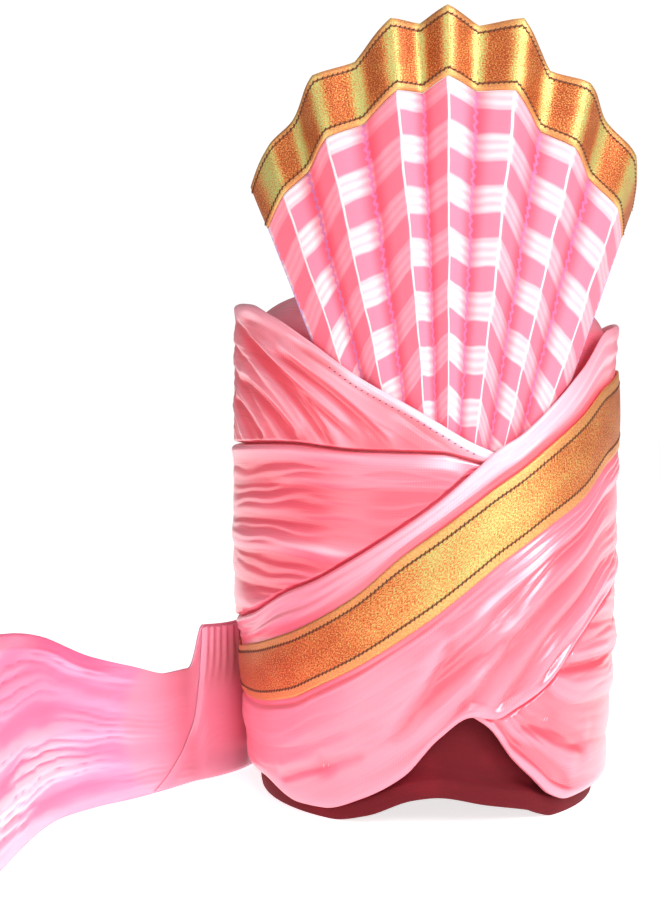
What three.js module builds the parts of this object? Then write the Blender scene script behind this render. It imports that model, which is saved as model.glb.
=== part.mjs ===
// A pre-tied pagri: a maroon cap with pink cloth wound round it, a pleated check fan standing
// in the front V, gold woven borders and a free tail at the left.
// Millimetres, +Z up, the front faces -Y, the centre of the head opening on the floor is the origin.
// Angles run round the turban in degrees: 0 is the front, positive to the viewer's right.
import * as THREE from 'three';

// Overall sizes
const GAP = 0.5;              // air between neighbouring pieces
const SLACK = 1.2;            // a wrap's middle lies this far off the body
const STEP_ANGLE = 7.5;       // spacing of the sections round the turban
const HEAD_HALF_WIDTH = 84;   // head opening, inside the cap
const HEAD_HALF_DEPTH = 101;
const CAP_WALL = 2;           // cloth thickness of the inner cap
const CAP_WALL_TOP = 92;      // where the cap's wall turns into its dome
const CAP_DOME_RISE = 58;
const RIM_BAND = 10;          // height of the thick band along the cap's rim
const RIM_STEP = 3;           // height over which that band runs out
const CROWN_WALL_TOP = 240;   // where the crown's wall turns into its top
const CROWN_TOP_RISE = 31;
const CROWN_TOP_WALL = 3;
const TUCK_HEIGHT = 11;       // how far a wrap runs in under its neighbour
const TUCK_SHARE = 0.66;      // at most this share of a narrow tip
const TUCK_OFFSET = 2.3;      // how thin it lies there
const FOLD_DEPTH = 2.2;       // main folds of the wraps
const FOLD_SHARE = 0.55;      // at most this share of the cloth over the free edge
const WRAP_FOLDS = 4;         // folds across the upper, middle and lower wraps
const CROSS_FOLDS = 3;        // folds of the cross wrap below its gold band
const WRAP_OVERLAP = 9;       // how far the middle and lower wraps reach in under the cross wrap
const EDGE_ROUND = 3;         // height of a wrap's rounded free edge
const EDGE_ROUND_SHARE = 0.1; // at most this share of the wrap's height
const EDGE_SHARE = 0.45;      // thickness of that edge as a share of the crest
const PLATEAU_SHARE = 0.42;   // share of a narrow wrap that lies level along each edge
const MIDDLE_SHARE = 0.03;    // least half height of a wrap's middle, as a share of its height
const CROSS_CREST = 7.8;      // how far the cross wrap stands off the body
const CROSS_ROLL = 2.2;       // thickness of its rolled upper edge
const CROSS_ROLL_EDGE = 1.1;
const CROSS_ROLL_ROUND = 2.5;
const CROSS_HEM = 1.8;        // thickness of its hem
const CROSS_HEM_DROP = 0.4;   // the hem's roll lies this far below the crest
const BAND_MARGIN = 2;        // level cloth beside the gold band, below and above it
const BAND_SEAT = 5.4;        // depth at which the gold band lies on the cross wrap
const BAND_WALL = 1.2;
const FAN_WALL = 1.3;
const FAN_PIVOT = { x: 3, z: 65 };  // point the pleats run towards
const FAN_PLEAT_DEPTH = 4.5;        // half depth of the pleats at the edge
const FAN_FLAT_REACH = 60;          // the pleats are pressed flat below this distance
const FAN_EDGE_REACH = 340;
const FAN_STANDOFF = 1.4;           // clearance of the fan's middle from the crown at its foot
const FAN_SIDE_LIMIT = 0.98;        // the plan curve ends before its widest point
const FAN_ROWS = 4;                 // rows of facets up the pleats
const TAIL_WALL = 1.6;
const TAIL_CLEAR = 1.2;             // the tail's lower edge above the floor

// The wound body without its wraps: half width and half depth at each height.
const BODY = [
  { z: 0, halfWidth: 90.5, halfDepth: 106 },
  { z: 40, halfWidth: 93.5, halfDepth: 108.5 },
  { z: 90, halfWidth: 96.5, halfDepth: 110.5 },
  { z: 150, halfWidth: 97.5, halfDepth: 111.5 },
  { z: 200, halfWidth: 97, halfDepth: 110 },
  { z: 240, halfWidth: 96.5, halfDepth: 106.5 },
  { z: 280, halfWidth: 95, halfDepth: 102 },
];

// The cap's rim stands on the floor except for a low arch at the front.
const RIM = [
  { angle: -180, z: 0 }, { angle: -45, z: 0 }, { angle: -36, z: 0 }, { angle: -22.5, z: 4.5 },
  { angle: -7.5, z: 14 }, { angle: 0, z: 15.5 }, { angle: 15, z: 11 }, { angle: 30, z: 6 },
  { angle: 42, z: 0 }, { angle: 52, z: 0 }, { angle: 180, z: 0 },
];

// The crown's lower edge, raised behind the front arch of the wraps.
const CROWN_EDGE = [
  { angle: -180, z: 15 }, { angle: -52.5, z: 15 }, { angle: -37.5, z: 18 }, { angle: -22.5, z: 30 },
  { angle: -7.5, z: 50 }, { angle: 0, z: 62 }, { angle: 10, z: 72 }, { angle: 22.5, z: 56 },
  { angle: 37.5, z: 28 }, { angle: 52.5, z: 16 }, { angle: 67.5, z: 15 }, { angle: 180, z: 15 },
];

// Cross wrap: its hem, the gold band's edges, its top edge, and how far each edge lifts off the body.
const CROSS_WRAP = [
  { angle: -180, hem: 36, bandLow: 92, bandHigh: 130, top: 152, hemLift: 2.9, topLift: 3.2 },
  { angle: -150, hem: 15, bandLow: 66, bandHigh: 98, top: 117, hemLift: 2.9, topLift: 2.9 },
  { angle: -120, hem: 11, bandLow: 55, bandHigh: 80, top: 96, hemLift: 1.2, topLift: 2.9 },
  { angle: -90, hem: 13, bandLow: 53, bandHigh: 76, top: 91, hemLift: 0.6, topLift: 2.9 },
  { angle: -65, hem: 13, bandLow: 54, bandHigh: 83, top: 99, hemLift: 0.6, topLift: 2.9 },
  { angle: -46, hem: 6, bandLow: 60, bandHigh: 93, top: 114, hemLift: 0.6, topLift: 2.9 },
  { angle: -36, hem: 6.5, bandLow: 68, bandHigh: 101, top: 121, hemLift: 0.6, topLift: 2.9 },
  { angle: -23, hem: 14, bandLow: 80, bandHigh: 115, top: 134, hemLift: 0.6, topLift: 2.9 },
  { angle: -10, hem: 27, bandLow: 95, bandHigh: 135, top: 149, hemLift: 0.6, topLift: 2.9 },
  { angle: 0, hem: 46, bandLow: 108, bandHigh: 148, top: 162, hemLift: 1.6, topLift: 3.4 },
  { angle: 9, hem: 56.5, bandLow: 121, bandHigh: 160, top: 176, hemLift: 3.4, topLift: 5.1 },
  { angle: 16, hem: 55, bandLow: 131, bandHigh: 169, top: 187, hemLift: 3.6, topLift: 6.7 },
  { angle: 22, hem: 59.5, bandLow: 138, bandHigh: 175.5, top: 193, hemLift: 2.9, topLift: 6.6 },
  { angle: 32, hem: 69, bandLow: 149, bandHigh: 187.5, top: 207, hemLift: 2.9, topLift: 6.6 },
  { angle: 45, hem: 91, bandLow: 161, bandHigh: 201.5, top: 226, hemLift: 2.9, topLift: 6.6 },
  { angle: 60, hem: 108, bandLow: 178, bandHigh: 217, top: 246, hemLift: 2.9, topLift: 6.6 },
  { angle: 90, hem: 122, bandLow: 188, bandHigh: 226, top: 251, hemLift: 2.9, topLift: 2.9 },
  { angle: 120, hem: 115, bandLow: 178, bandHigh: 216, top: 241, hemLift: 2.9, topLift: 2.9 },
  { angle: 150, hem: 82, bandLow: 142, bandHigh: 181, top: 205, hemLift: 2.9, topLift: 3.4 },
  { angle: 165, hem: 59, bandLow: 117, bandHigh: 156, top: 179, hemLift: 2.9, topLift: 5.6 },
  { angle: 180, hem: 36, bandLow: 92, bandHigh: 130, top: 152, hemLift: 2.9, topLift: 3.2 },
];

// Upper wrap: a crescent, widest at the left, its tips under the cross wrap front and back.
const UPPER_WRAP = [
  { angle: -195, low: 175, high: 178.5, highLift: 0.6, crest: 2.4 },
  { angle: -187.5, low: 174, high: 188, highLift: 0.6, crest: 4 },
  { angle: -172.5, low: 176, high: 208, highLift: 0.6, crest: 7 },
  { angle: -150, low: 177, high: 235, highLift: 0.6, crest: 7.8 },
  { angle: -120, low: 177, high: 257, highLift: 0.6, crest: 8.8 },
  { angle: -90, low: 177, high: 262, highLift: 0.6, crest: 9.4 },
  { angle: -67.5, low: 178, high: 260, highLift: 3.5, crest: 9.2 },
  { angle: -52.5, low: 179, high: 253, highLift: 6.6, crest: 8.9 },
  { angle: -37.5, low: 179, high: 240, highLift: 7.1, crest: 9.3 },
  { angle: -22.5, low: 177, high: 222, highLift: 6.5, crest: 8.8 },
  { angle: -7.5, low: 176, high: 207, highLift: 5.2, crest: 8 },
  { angle: 0, low: 176, high: 199, highLift: 5, crest: 7.4 },
  { angle: 7.5, low: 176, high: 191, highLift: 4.8, crest: 6.8 },
  { angle: 15, low: 178, high: 185, highLift: 4.6, crest: 6 },
];

// Middle wrap: level folds below the upper wrap, its lower edge under the cross wrap.
const MIDDLE_WRAP = [
  { angle: -195, high: 173.5, crest: 4, lift: 2.9 },
  { angle: -187.5, high: 177, crest: 4.6, lift: 2.9 },
  { angle: -180, high: 180, crest: 6, lift: 2.9 },
  { angle: -150, high: 186, crest: 7.8, lift: 2.9 },
  { angle: -90, high: 185.5, crest: 9.4, lift: 2.9 },
  { angle: -45, high: 188, crest: 8.2, lift: 2.9 },
  { angle: -22.5, high: 185, crest: 7.6, lift: 2.9 },
  { angle: 0, high: 184, crest: 7, lift: 2.9 },
  { angle: 7.5, high: 181, crest: 4.9, lift: 2.9 },
  { angle: 15, high: 177, crest: 4, lift: 2.9 },
];

// Lower wrap: the right lobe of the front arch and the lower right side, running round the back.
const LOWER_WRAP = [
  { angle: 7.5, hem: 58.5, crest: 2.3 },
  { angle: 15, hem: 50, crest: 3.6 },
  { angle: 22.5, hem: 34, crest: 6.4 },
  { angle: 30, hem: 22.5, crest: 7 },
  { angle: 37.5, hem: 12.5, crest: 7.2 },
  { angle: 45, hem: 8.5, crest: 7.2 },
  { angle: 60, hem: 9, crest: 7.4 },
  { angle: 90, hem: 9, crest: 7.6 },
  { angle: 150, hem: 9, crest: 7.6 },
  { angle: 180, hem: 9, crest: 7 },
  { angle: 195, hem: 9.5, crest: 5 },
  { angle: 210, hem: 10, crest: 2.4 },
];

// The fan's fold lines from left to right: slant from upright, which way the fold points,
// and the distances from the pivot to the hidden foot, the border's seam and the outer edge.
const FAN_FOLDS = [
  { slant: -19.6, fold: 0.3, foot: 181, seam: 246, reach: 270 },
  { slant: -16.4, fold: 1, foot: 164, seam: 258, reach: 284 },
  { slant: -14.2, fold: -1, foot: 155, seam: 267, reach: 296 },
  { slant: -10.9, fold: 1, foot: 148, seam: 279, reach: 311 },
  { slant: -7.8, fold: -1, foot: 140, seam: 283, reach: 315 },
  { slant: -4.1, fold: 1, foot: 134, seam: 296, reach: 332 },
  { slant: -2.0, fold: -1, foot: 131, seam: 295, reach: 330 },
  { slant: 0.3, fold: 1, foot: 128.5, seam: 302, reach: 337 },
  { slant: 3.0, fold: -1, foot: 126, seam: 296, reach: 329 },
  { slant: 6.2, fold: 1, foot: 122.5, seam: 297, reach: 333 },
  { slant: 9.6, fold: -1, foot: 120.5, seam: 281, reach: 312 },
  { slant: 12.5, fold: 1, foot: 122.5, seam: 276, reach: 309 },
  { slant: 15.9, fold: -1, foot: 128, seam: 266, reach: 298 },
  { slant: 19.1, fold: 1, foot: 147, seam: 257, reach: 286 },
  { slant: 21.8, fold: 0.1, foot: 166, seam: 247, reach: 266 },
];

// The fan's plan curve at the foot and at the edge.
const FAN_PLAN = [
  { z: 185, centre: 0, halfWidth: 97.2, halfDepth: 110.6 },
  { z: 250, centre: 0, halfWidth: 97.4, halfDepth: 107 },
  { z: 405, centre: 10, halfWidth: 121, halfDepth: 88 },
];

// The tail from where it is sewn on behind the left side to its free end:
// plan position of its lower edge, height of its top edge, lean and depth of its lengthwise folds.
const TAIL = [
  { x: -70.9, y: 81.8, top: 74, lean: 5, fold: 0.1 },
  { x: -86.9, y: 57.8, top: 84, lean: 5.5, fold: 0.1 },
  { x: -96.2, y: 35, top: 85, lean: 5.5, fold: 0.2 },
  { x: -103.5, y: 18, top: 85, lean: 4, fold: 0.8 },
  { x: -113, y: 4, top: 85.5, lean: 3, fold: 1.4 },
  { x: -121, y: -4.5, top: 86, lean: 3, fold: 1.8 },
  { x: -128, y: -11, top: 63, lean: 3, fold: 2 },
  { x: -138, y: -26, top: 63, lean: 3, fold: 2.2 },
  { x: -154, y: -47, top: 70, lean: 4, fold: 2.6 },
  { x: -174, y: -68, top: 79, lean: 5, fold: 3 },
  { x: -190, y: -95, top: 93, lean: 7, fold: 3.4 },
  { x: -196, y: -130, top: 100, lean: 9, fold: 3.6 },
  { x: -199, y: -165, top: 103, lean: 10, fold: 3.6 },
  { x: -201, y: -195, top: 101, lean: 10, fold: 3.4 },
];
const TAIL_FOLDS = 3.5;       // lengthwise waves between the lower and the top edge
const TAIL_DRIFT = 0.35;      // radians that the waves climb from one row of the table to the next
const TAIL_HEM_SHARE = 1 / 12;  // the waves start this share above the lower edge
const TAIL_ROWS = 12;
const TAIL_STEPS_PER_ROW = 2;

const radians = THREE.MathUtils.degToRad;
const clamp = THREE.MathUtils.clamp;

// Smooth value of one column of a table at a place along its key column.
function lookUp(table, key, at, column) {
  const last = table.length - 1;
  const place = clamp(at, table[0][key], table[last][key]);
  let i = 0;
  while (i < last - 1 && place > table[i + 1][key]) i += 1;
  const slope = (a, b) => (table[b][column] - table[a][column]) / (table[b][key] - table[a][key]);
  const tangent = (k) => {
    const before = slope(Math.max(k - 1, 0), Math.max(k, 1));
    const after = slope(Math.min(k, last - 1), Math.min(k + 1, last));
    return before * after <= 0 ? 0 : 2 * before * after / (before + after);
  };
  const span = table[i + 1][key] - table[i][key];
  const t = (place - table[i][key]) / span;
  const rise = t * t * (3 - 2 * t);
  return table[i][column] * (1 - rise) + table[i + 1][column] * rise
    + span * t * (1 - t) * ((1 - t) * tangent(i) - t * tangent(i + 1));
}

// Values of every column of a table keyed by angle.
function rowAt(table, angle) {
  const row = { angle };
  for (const column of Object.keys(table[0])) {
    if (column !== 'angle') row[column] = lookUp(table, 'angle', angle, column);
  }
  return row;
}

const turned = (angle) => (angle > 180 ? angle - 360 : angle < -180 ? angle + 360 : angle);

// A point of the body's surface pushed outwards by an offset.
function bodyPoint(angle, z, offset) {
  const halfWidth = lookUp(BODY, 'z', z, 'halfWidth') + offset;
  const halfDepth = lookUp(BODY, 'z', z, 'halfDepth') + offset;
  return new THREE.Vector3(halfWidth * Math.sin(radians(angle)), -halfDepth * Math.cos(radians(angle)), z);
}

function material(color, roughness, metalness) {
  return new THREE.MeshStandardMaterial({ color, roughness, metalness });
}

// A closed mesh facing outwards from shared points and index triples.
function closedMesh(name, points, faces, finish) {
  let volume = 0;
  for (const [a, b, c] of faces) volume += points[a].dot(points[b].clone().cross(points[c]));
  const index = faces.flatMap(([a, b, c]) => (volume > 0 ? [a, b, c] : [a, c, b]));
  const geometry = new THREE.BufferGeometry().setFromPoints(points);
  geometry.setIndex(index);
  geometry.computeVertexNormals();
  const mesh = new THREE.Mesh(geometry, finish);
  mesh.name = name;
  return mesh;
}

// Skin over a row of like sections, each an outer line going up and an inner line coming down.
function woundBand(name, angles, sectionAt, finish) {
  const isRing = Math.abs(angles[angles.length - 1] + STEP_ANGLE - angles[0] - 360) < 1e-6;
  const sections = angles.map(sectionAt);
  const rising = sections[0].outer.length;
  const size = rising + sections[0].inner.length;
  const points = sections.flatMap(({ outer, inner }, i) => (
    [...outer, ...inner].map(({ z, offset }) => bodyPoint(angles[i], z, offset))));
  const faces = [];
  const strips = isRing ? angles.length : angles.length - 1;
  for (let i = 0; i < strips; i += 1) {
    const here = i * size;
    const next = ((i + 1) % angles.length) * size;
    for (let k = 0; k < size; k += 1) {
      const up = (k + 1) % size;
      faces.push([here + k, next + k, next + up], [here + k, next + up, here + up]);
    }
  }
  if (!isRing) {
    faces.push(...endCap(sections[0], 0, false));
    faces.push(...endCap(sections.at(-1), points.length - size, true));
  }
  return closedMesh(name, points, faces, finish);
}

// Triangles closing a band's end: a zip between its outer and its inner line.
function endCap({ outer, inner }, start, isFlipped) {
  const faces = [];
  const innerIndex = (j) => start + outer.length + inner.length - 1 - j;
  const innerHeight = (j) => inner[Math.max(inner.length - 1 - j, 0)].z;
  let i = 0;
  let j = 0;
  while (i < outer.length - 1 || j < inner.length - 1) {
    const isOuterLower = i < outer.length - 1 && outer[i + 1].z <= innerHeight(j + 1);
    const isOuterNext = j === inner.length - 1 || isOuterLower;
    const tip = isOuterNext ? start + i + 1 : innerIndex(j + 1);
    faces.push(isFlipped ? [start + i, innerIndex(j), tip] : [start + i, tip, innerIndex(j)]);
    if (isOuterNext) i += 1;
    else j += 1;
  }
  return faces;
}

// Open-bottomed cap from outer and inner profiles, each a list of points up to the pole.
function hollowCap(name, angles, outerAt, innerAt, finish) {
  const points = [];
  const faces = [];
  const addShell = (profileAt) => {
    const start = points.length;
    const profiles = angles.map(profileAt);
    const rows = profiles[0].length - 1;
    profiles.forEach((profile) => points.push(...profile.slice(0, rows)));
    const pole = points.push(profiles[0][rows]) - 1;
    return { at: (i, j) => (j === rows ? pole : start + (i % angles.length) * rows + j), rows };
  };
  const outer = addShell(outerAt);
  const inner = addShell(innerAt);
  for (let i = 0; i < angles.length; i += 1) {
    for (const [shell, flip] of [[outer, false], [inner, true]]) {
      for (let j = 0; j < shell.rows; j += 1) {
        const corner = [shell.at(i, j), shell.at(i + 1, j), shell.at(i + 1, j + 1), shell.at(i, j + 1)];
        const triples = [[corner[0], corner[1], corner[2]]];
        if (j < shell.rows - 1) triples.push([corner[0], corner[2], corner[3]]);
        for (const [a, b, c] of triples) faces.push(flip ? [a, c, b] : [a, b, c]);
      }
    }
    const rim = [inner.at(i, 0), inner.at(i + 1, 0), outer.at(i + 1, 0), outer.at(i, 0)];
    faces.push([rim[0], rim[1], rim[2]], [rim[0], rim[2], rim[3]]);
  }
  return closedMesh(name, points, faces, finish);
}

// Cloth wall between a front grid and a back grid of points.
function clothWall(name, front, back, finish) {
  const rows = front.length;
  const columns = front[0].length;
  const points = [...front.flat(), ...back.flat()];
  const at = (side, i, j) => side * rows * columns + i * columns + j;
  const faces = [];
  const quad = (a, b, c, d) => faces.push([a, b, c], [a, c, d]);
  for (let i = 0; i < rows - 1; i += 1) {
    for (let j = 0; j < columns - 1; j += 1) {
      quad(at(0, i, j), at(0, i + 1, j), at(0, i + 1, j + 1), at(0, i, j + 1));
      quad(at(1, i, j + 1), at(1, i + 1, j + 1), at(1, i + 1, j), at(1, i, j));
    }
    quad(at(0, i + 1, 0), at(0, i, 0), at(1, i, 0), at(1, i + 1, 0));
    quad(at(0, i, columns - 1), at(0, i + 1, columns - 1), at(1, i + 1, columns - 1), at(1, i, columns - 1));
  }
  for (let j = 0; j < columns - 1; j += 1) {
    quad(at(0, 0, j), at(0, 0, j + 1), at(1, 0, j + 1), at(1, 0, j));
    quad(at(0, rows - 1, j + 1), at(0, rows - 1, j), at(1, rows - 1, j), at(1, rows - 1, j + 1));
  }
  return closedMesh(name, points, faces, finish);
}

function angleRange(from, to) {
  const count = Math.round((to - from) / STEP_ANGLE);
  return Array.from({ length: count + 1 }, (_, i) => from + i * STEP_ANGLE);
}

const FULL_TURN = angleRange(-180, 180 - STEP_ANGLE);

// Inner line of a wrap from its top edge down: lifted along both edges, close to the body between.
function wrapLining(low, high, lowLift, highLift) {
  const height = high - low;
  const plateau = Math.min(TUCK_HEIGHT + SLACK, height * PLATEAU_SHARE);
  const middle = low + height / 2;
  return [
    { z: high, offset: highLift },
    { z: high - plateau, offset: highLift },
    { z: Math.max(high - 2 * plateau, middle + height * MIDDLE_SHARE), offset: SLACK },
    { z: Math.min(low + 2 * plateau, middle - height * MIDDLE_SHARE), offset: SLACK },
    { z: low + plateau, offset: lowLift },
    { z: low, offset: lowLift },
  ];
}

// Outer line of folds between two heights: ridges and valleys by turns.
function foldLine(from, to, crest, freeLift, folds) {
  const depth = Math.min(FOLD_DEPTH, FOLD_SHARE * (crest - freeLift));
  const line = [];
  for (let k = 1; k < 2 * folds; k += 1) {
    const isRidge = k % 2 === 1;
    line.push({ z: from + (to - from) * k / (2 * folds), offset: isRidge ? crest : crest - depth });
  }
  return line;
}

// Wrap with one edge tucked thin under its neighbour and a rounded free edge.
function tuckedWrap(low, high, crest, freeLift, folds, tuckedAtTop) {
  const height = high - low;
  const tuck = Math.min(TUCK_HEIGHT, height * TUCK_SHARE);
  const thin = Math.min(TUCK_OFFSET, crest);
  const round = Math.min(EDGE_ROUND, height * EDGE_ROUND_SHARE);
  const edge = freeLift + EDGE_SHARE * (crest - freeLift);
  if (tuckedAtTop) {
    const outer = [
      { z: low, offset: edge }, { z: low + round, offset: crest },
      ...foldLine(low + round, high - tuck, crest, freeLift, folds),
      { z: high - tuck, offset: thin }, { z: high, offset: thin },
    ];
    return { outer, inner: wrapLining(low, high, freeLift, GAP) };
  }
  const outer = [
    { z: low, offset: thin }, { z: low + tuck, offset: thin },
    ...foldLine(low + tuck, high - round, crest, freeLift, folds),
    { z: high - round, offset: crest }, { z: high, offset: edge },
  ];
  return { outer, inner: wrapLining(low, high, GAP, freeLift) };
}

const crossRow = (angle) => rowAt(CROSS_WRAP, turned(angle));

function crossSection(angle) {
  const row = crossRow(angle);
  const roll = Math.max(CROSS_CREST, row.topLift + CROSS_ROLL);
  const hemTop = row.hem + EDGE_ROUND;
  const belowBand = row.bandLow - BAND_MARGIN;
  const aboveBand = row.bandHigh + BAND_MARGIN;
  const outer = [
    { z: row.hem, offset: row.hemLift + CROSS_HEM }, { z: hemTop, offset: CROSS_CREST - CROSS_HEM_DROP },
    ...foldLine(hemTop, belowBand, CROSS_CREST, row.hemLift, CROSS_FOLDS),
    { z: belowBand, offset: BAND_SEAT }, { z: row.bandLow, offset: BAND_SEAT },
    { z: row.bandHigh, offset: BAND_SEAT }, { z: aboveBand, offset: BAND_SEAT },
    { z: (aboveBand + row.top) / 2, offset: roll }, { z: row.top - CROSS_ROLL_ROUND, offset: roll },
    { z: row.top, offset: row.topLift + CROSS_ROLL_EDGE },
  ];
  return { outer, inner: wrapLining(row.hem, row.top, row.hemLift, row.topLift) };
}

function bandSection(angle) {
  const { bandLow, bandHigh } = crossRow(angle);
  const seat = BAND_SEAT + GAP;
  return {
    outer: [{ z: bandLow, offset: seat + BAND_WALL }, { z: bandHigh, offset: seat + BAND_WALL }],
    inner: [{ z: bandHigh, offset: seat }, { z: bandLow, offset: seat }],
  };
}

function upperSection(angle) {
  const row = rowAt(UPPER_WRAP, angle);
  return tuckedWrap(row.low, row.high, row.crest, row.highLift, WRAP_FOLDS, false);
}

function middleSection(angle) {
  const row = rowAt(MIDDLE_WRAP, angle);
  return tuckedWrap(crossRow(angle).top - WRAP_OVERLAP, row.high, row.crest, row.lift, WRAP_FOLDS, false);
}

function lowerSection(angle) {
  const row = rowAt(LOWER_WRAP, angle);
  return tuckedWrap(row.hem, crossRow(angle).hem + WRAP_OVERLAP, row.crest, GAP, WRAP_FOLDS, true);
}

const ellipse = (angle, halfWidth, halfDepth, z) => new THREE.Vector3(
  halfWidth * Math.sin(radians(angle)), -halfDepth * Math.cos(radians(angle)), z);

// Heights of the crown's sections between its lower edge and its top.
const CROWN_OUTER_LEVELS = [90, 150, 200];
const CROWN_INNER_LEVELS = [120];

// Dome rows as shares of the plan size and of the rise, ending at the pole.
const DOME_TILTS = [18, 38, 60, 78, 90];
const DOME_ROWS = DOME_TILTS.map((tilt) => ({
  share: Math.cos(radians(tilt)), rise: Math.sin(radians(tilt)),
}));

function capShell(angle, wall) {
  const rim = lookUp(RIM, 'angle', angle, 'z');
  const halfWidth = HEAD_HALF_WIDTH + wall;
  const halfDepth = HEAD_HALF_DEPTH + wall;
  const straight = (z) => ellipse(angle, halfWidth, halfDepth, z);
  const foot = wall > 0
    ? [bodyPoint(angle, rim, 0), bodyPoint(angle, rim + RIM_BAND, 0), straight(rim + RIM_BAND + RIM_STEP)]
    : [straight(rim), straight(rim + RIM_BAND)];
  const dome = DOME_ROWS.map(({ share, rise }) => ellipse(
    angle, halfWidth * share, halfDepth * share, CAP_WALL_TOP + (CAP_DOME_RISE + wall) * rise));
  return [...foot, straight(CAP_WALL_TOP), ...dome];
}

// The crown's top is flatter than a round dome: its rows keep more of the plan size.
function crownShell(angle, isOuter) {
  const edge = lookUp(CROWN_EDGE, 'angle', angle, 'z');
  const wallTop = isOuter ? CROWN_WALL_TOP : CROWN_WALL_TOP - CROWN_TOP_WALL;
  const inner = CAP_WALL + GAP;
  const wallAt = (z) => (isOuter ? bodyPoint(angle, z, 0)
    : ellipse(angle, HEAD_HALF_WIDTH + inner, HEAD_HALF_DEPTH + inner, z));
  const rim = wallAt(wallTop);
  const dome = DOME_ROWS.map(({ share, rise }) => new THREE.Vector3(
    rim.x * Math.sqrt(share), rim.y * Math.sqrt(share), wallTop + CROWN_TOP_RISE * rise));
  dome[dome.length - 1].set(0, 0, wallTop + CROWN_TOP_RISE);
  const levels = isOuter ? CROWN_OUTER_LEVELS : CROWN_INNER_LEVELS;
  return [wallAt(edge), ...levels.map(wallAt), rim, ...dome];
}

// A point of the fan: along a fold line, pushed off the plan curve.
function fanPoint(row, reach, push) {
  const x = FAN_PIVOT.x + reach * Math.sin(radians(row.slant));
  const z = FAN_PIVOT.z + reach * Math.cos(radians(row.slant));
  const plan = (column) => lookUp(FAN_PLAN, 'z', z, column);
  const side = clamp((x - plan('centre')) / plan('halfWidth'), -FAN_SIDE_LIMIT, FAN_SIDE_LIMIT);
  const front = Math.sqrt(1 - side * side);
  const share = Math.max(reach - FAN_FLAT_REACH, 0) / (FAN_EDGE_REACH - FAN_FLAT_REACH);
  const offset = FAN_STANDOFF + FAN_PLEAT_DEPTH * share * (1 + row.fold) + push;
  return new THREE.Vector3(x + offset * side, -plan('halfDepth') * front - offset * front, z);
}

function fanWall(name, fromColumn, toColumn, start, steps, finish) {
  const grid = (push) => FAN_FOLDS.map((row) => Array.from({ length: steps + 1 }, (_, j) => {
    const from = row[fromColumn] + start;
    return fanPoint(row, from + (row[toColumn] - from) * j / steps, push);
  }));
  return clothWall(name, grid(FAN_WALL / 2), grid(-FAN_WALL / 2), finish);
}

// The tail stands on its lower edge, its lengthwise folds running from the body to the free end.
function tailWall(finish) {
  const table = TAIL.map((row, i) => ({ ...row, station: i }));
  const count = (TAIL.length - 1) * TAIL_STEPS_PER_ROW;
  const at = (station, column) => lookUp(table, 'station', station, column);
  const grid = (push) => Array.from({ length: count + 1 }, (_, i) => {
    const station = i / TAIL_STEPS_PER_ROW;
    const before = Math.max(station - 0.5, 0);
    const after = Math.min(station + 0.5, TAIL.length - 1);
    const change = (column) => at(after, column) - at(before, column);
    const along = new THREE.Vector2(change('x'), change('y')).normalize();
    return Array.from({ length: TAIL_ROWS + 1 }, (_, j) => {
      const share = j / TAIL_ROWS;
      const fade = Math.sin(Math.PI / 2 * Math.min(share / TAIL_HEM_SHARE / 2, 1));
      const wave = Math.sin(2 * Math.PI * TAIL_FOLDS * share + TAIL_DRIFT * station) * fade;
      const shift = at(station, 'lean') * share + at(station, 'fold') * wave + push;
      return new THREE.Vector3(
        at(station, 'x') + along.y * shift,
        at(station, 'y') - along.x * shift,
        TAIL_CLEAR + (at(station, 'top') - TAIL_CLEAR) * share);
    });
  });
  return clothWall('tail', grid(TAIL_WALL / 2), grid(-TAIL_WALL / 2), finish);
}

const pinkCloth = (color) => material(color, 0.55, 0);

const pagri = new THREE.Group();
pagri.name = 'tied_pagri';
pagri.add(
  hollowCap('lining_cap', FULL_TURN, (angle) => capShell(angle, CAP_WALL), (angle) => capShell(angle, 0),
    material(0x7d1923, 0.75, 0)),
  hollowCap('crown', FULL_TURN, (angle) => crownShell(angle, true), (angle) => crownShell(angle, false),
    pinkCloth(0xf58098)),
  woundBand('upper_wrap', angleRange(-195, 15), upperSection, pinkCloth(0xff8aa0)),
  woundBand('middle_wrap', angleRange(-195, 15), middleSection, pinkCloth(0xff8ca4)),
  woundBand('lower_wrap', angleRange(7.5, 210), lowerSection, pinkCloth(0xff8fa8)),
  woundBand('cross_wrap', FULL_TURN, crossSection, pinkCloth(0xff93ac)),
  woundBand('gold_band', FULL_TURN, bandSection, material(0xd8a648, 0.38, 0.75)),
  fanWall('fan_cloth', 'foot', 'seam', 0, FAN_ROWS, material(0xffa3ba, 0.55, 0)),
  fanWall('fan_border', 'seam', 'reach', GAP, 1, material(0xd8a648, 0.38, 0.75)),
  tailWall(pinkCloth(0xffa0c8)),
);

export default pagri;
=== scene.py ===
"""A pre-tied pagri on a maroon cap: crossed pink wraps, a check fan, gold trims and a free tail.

Metres, +Z up, the front faces -Y and the centre of the head opening on the floor is the origin.
Angles run round the turban in degrees: 0 is the front, positive to the viewer's right. A lattice has
one row for each section and one column for each step along it, so angles are kept as a column.
"""
import logging
import math
from dataclasses import dataclass, field
from enum import Enum
from typing import Iterable, Optional, Sequence, Union

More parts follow.
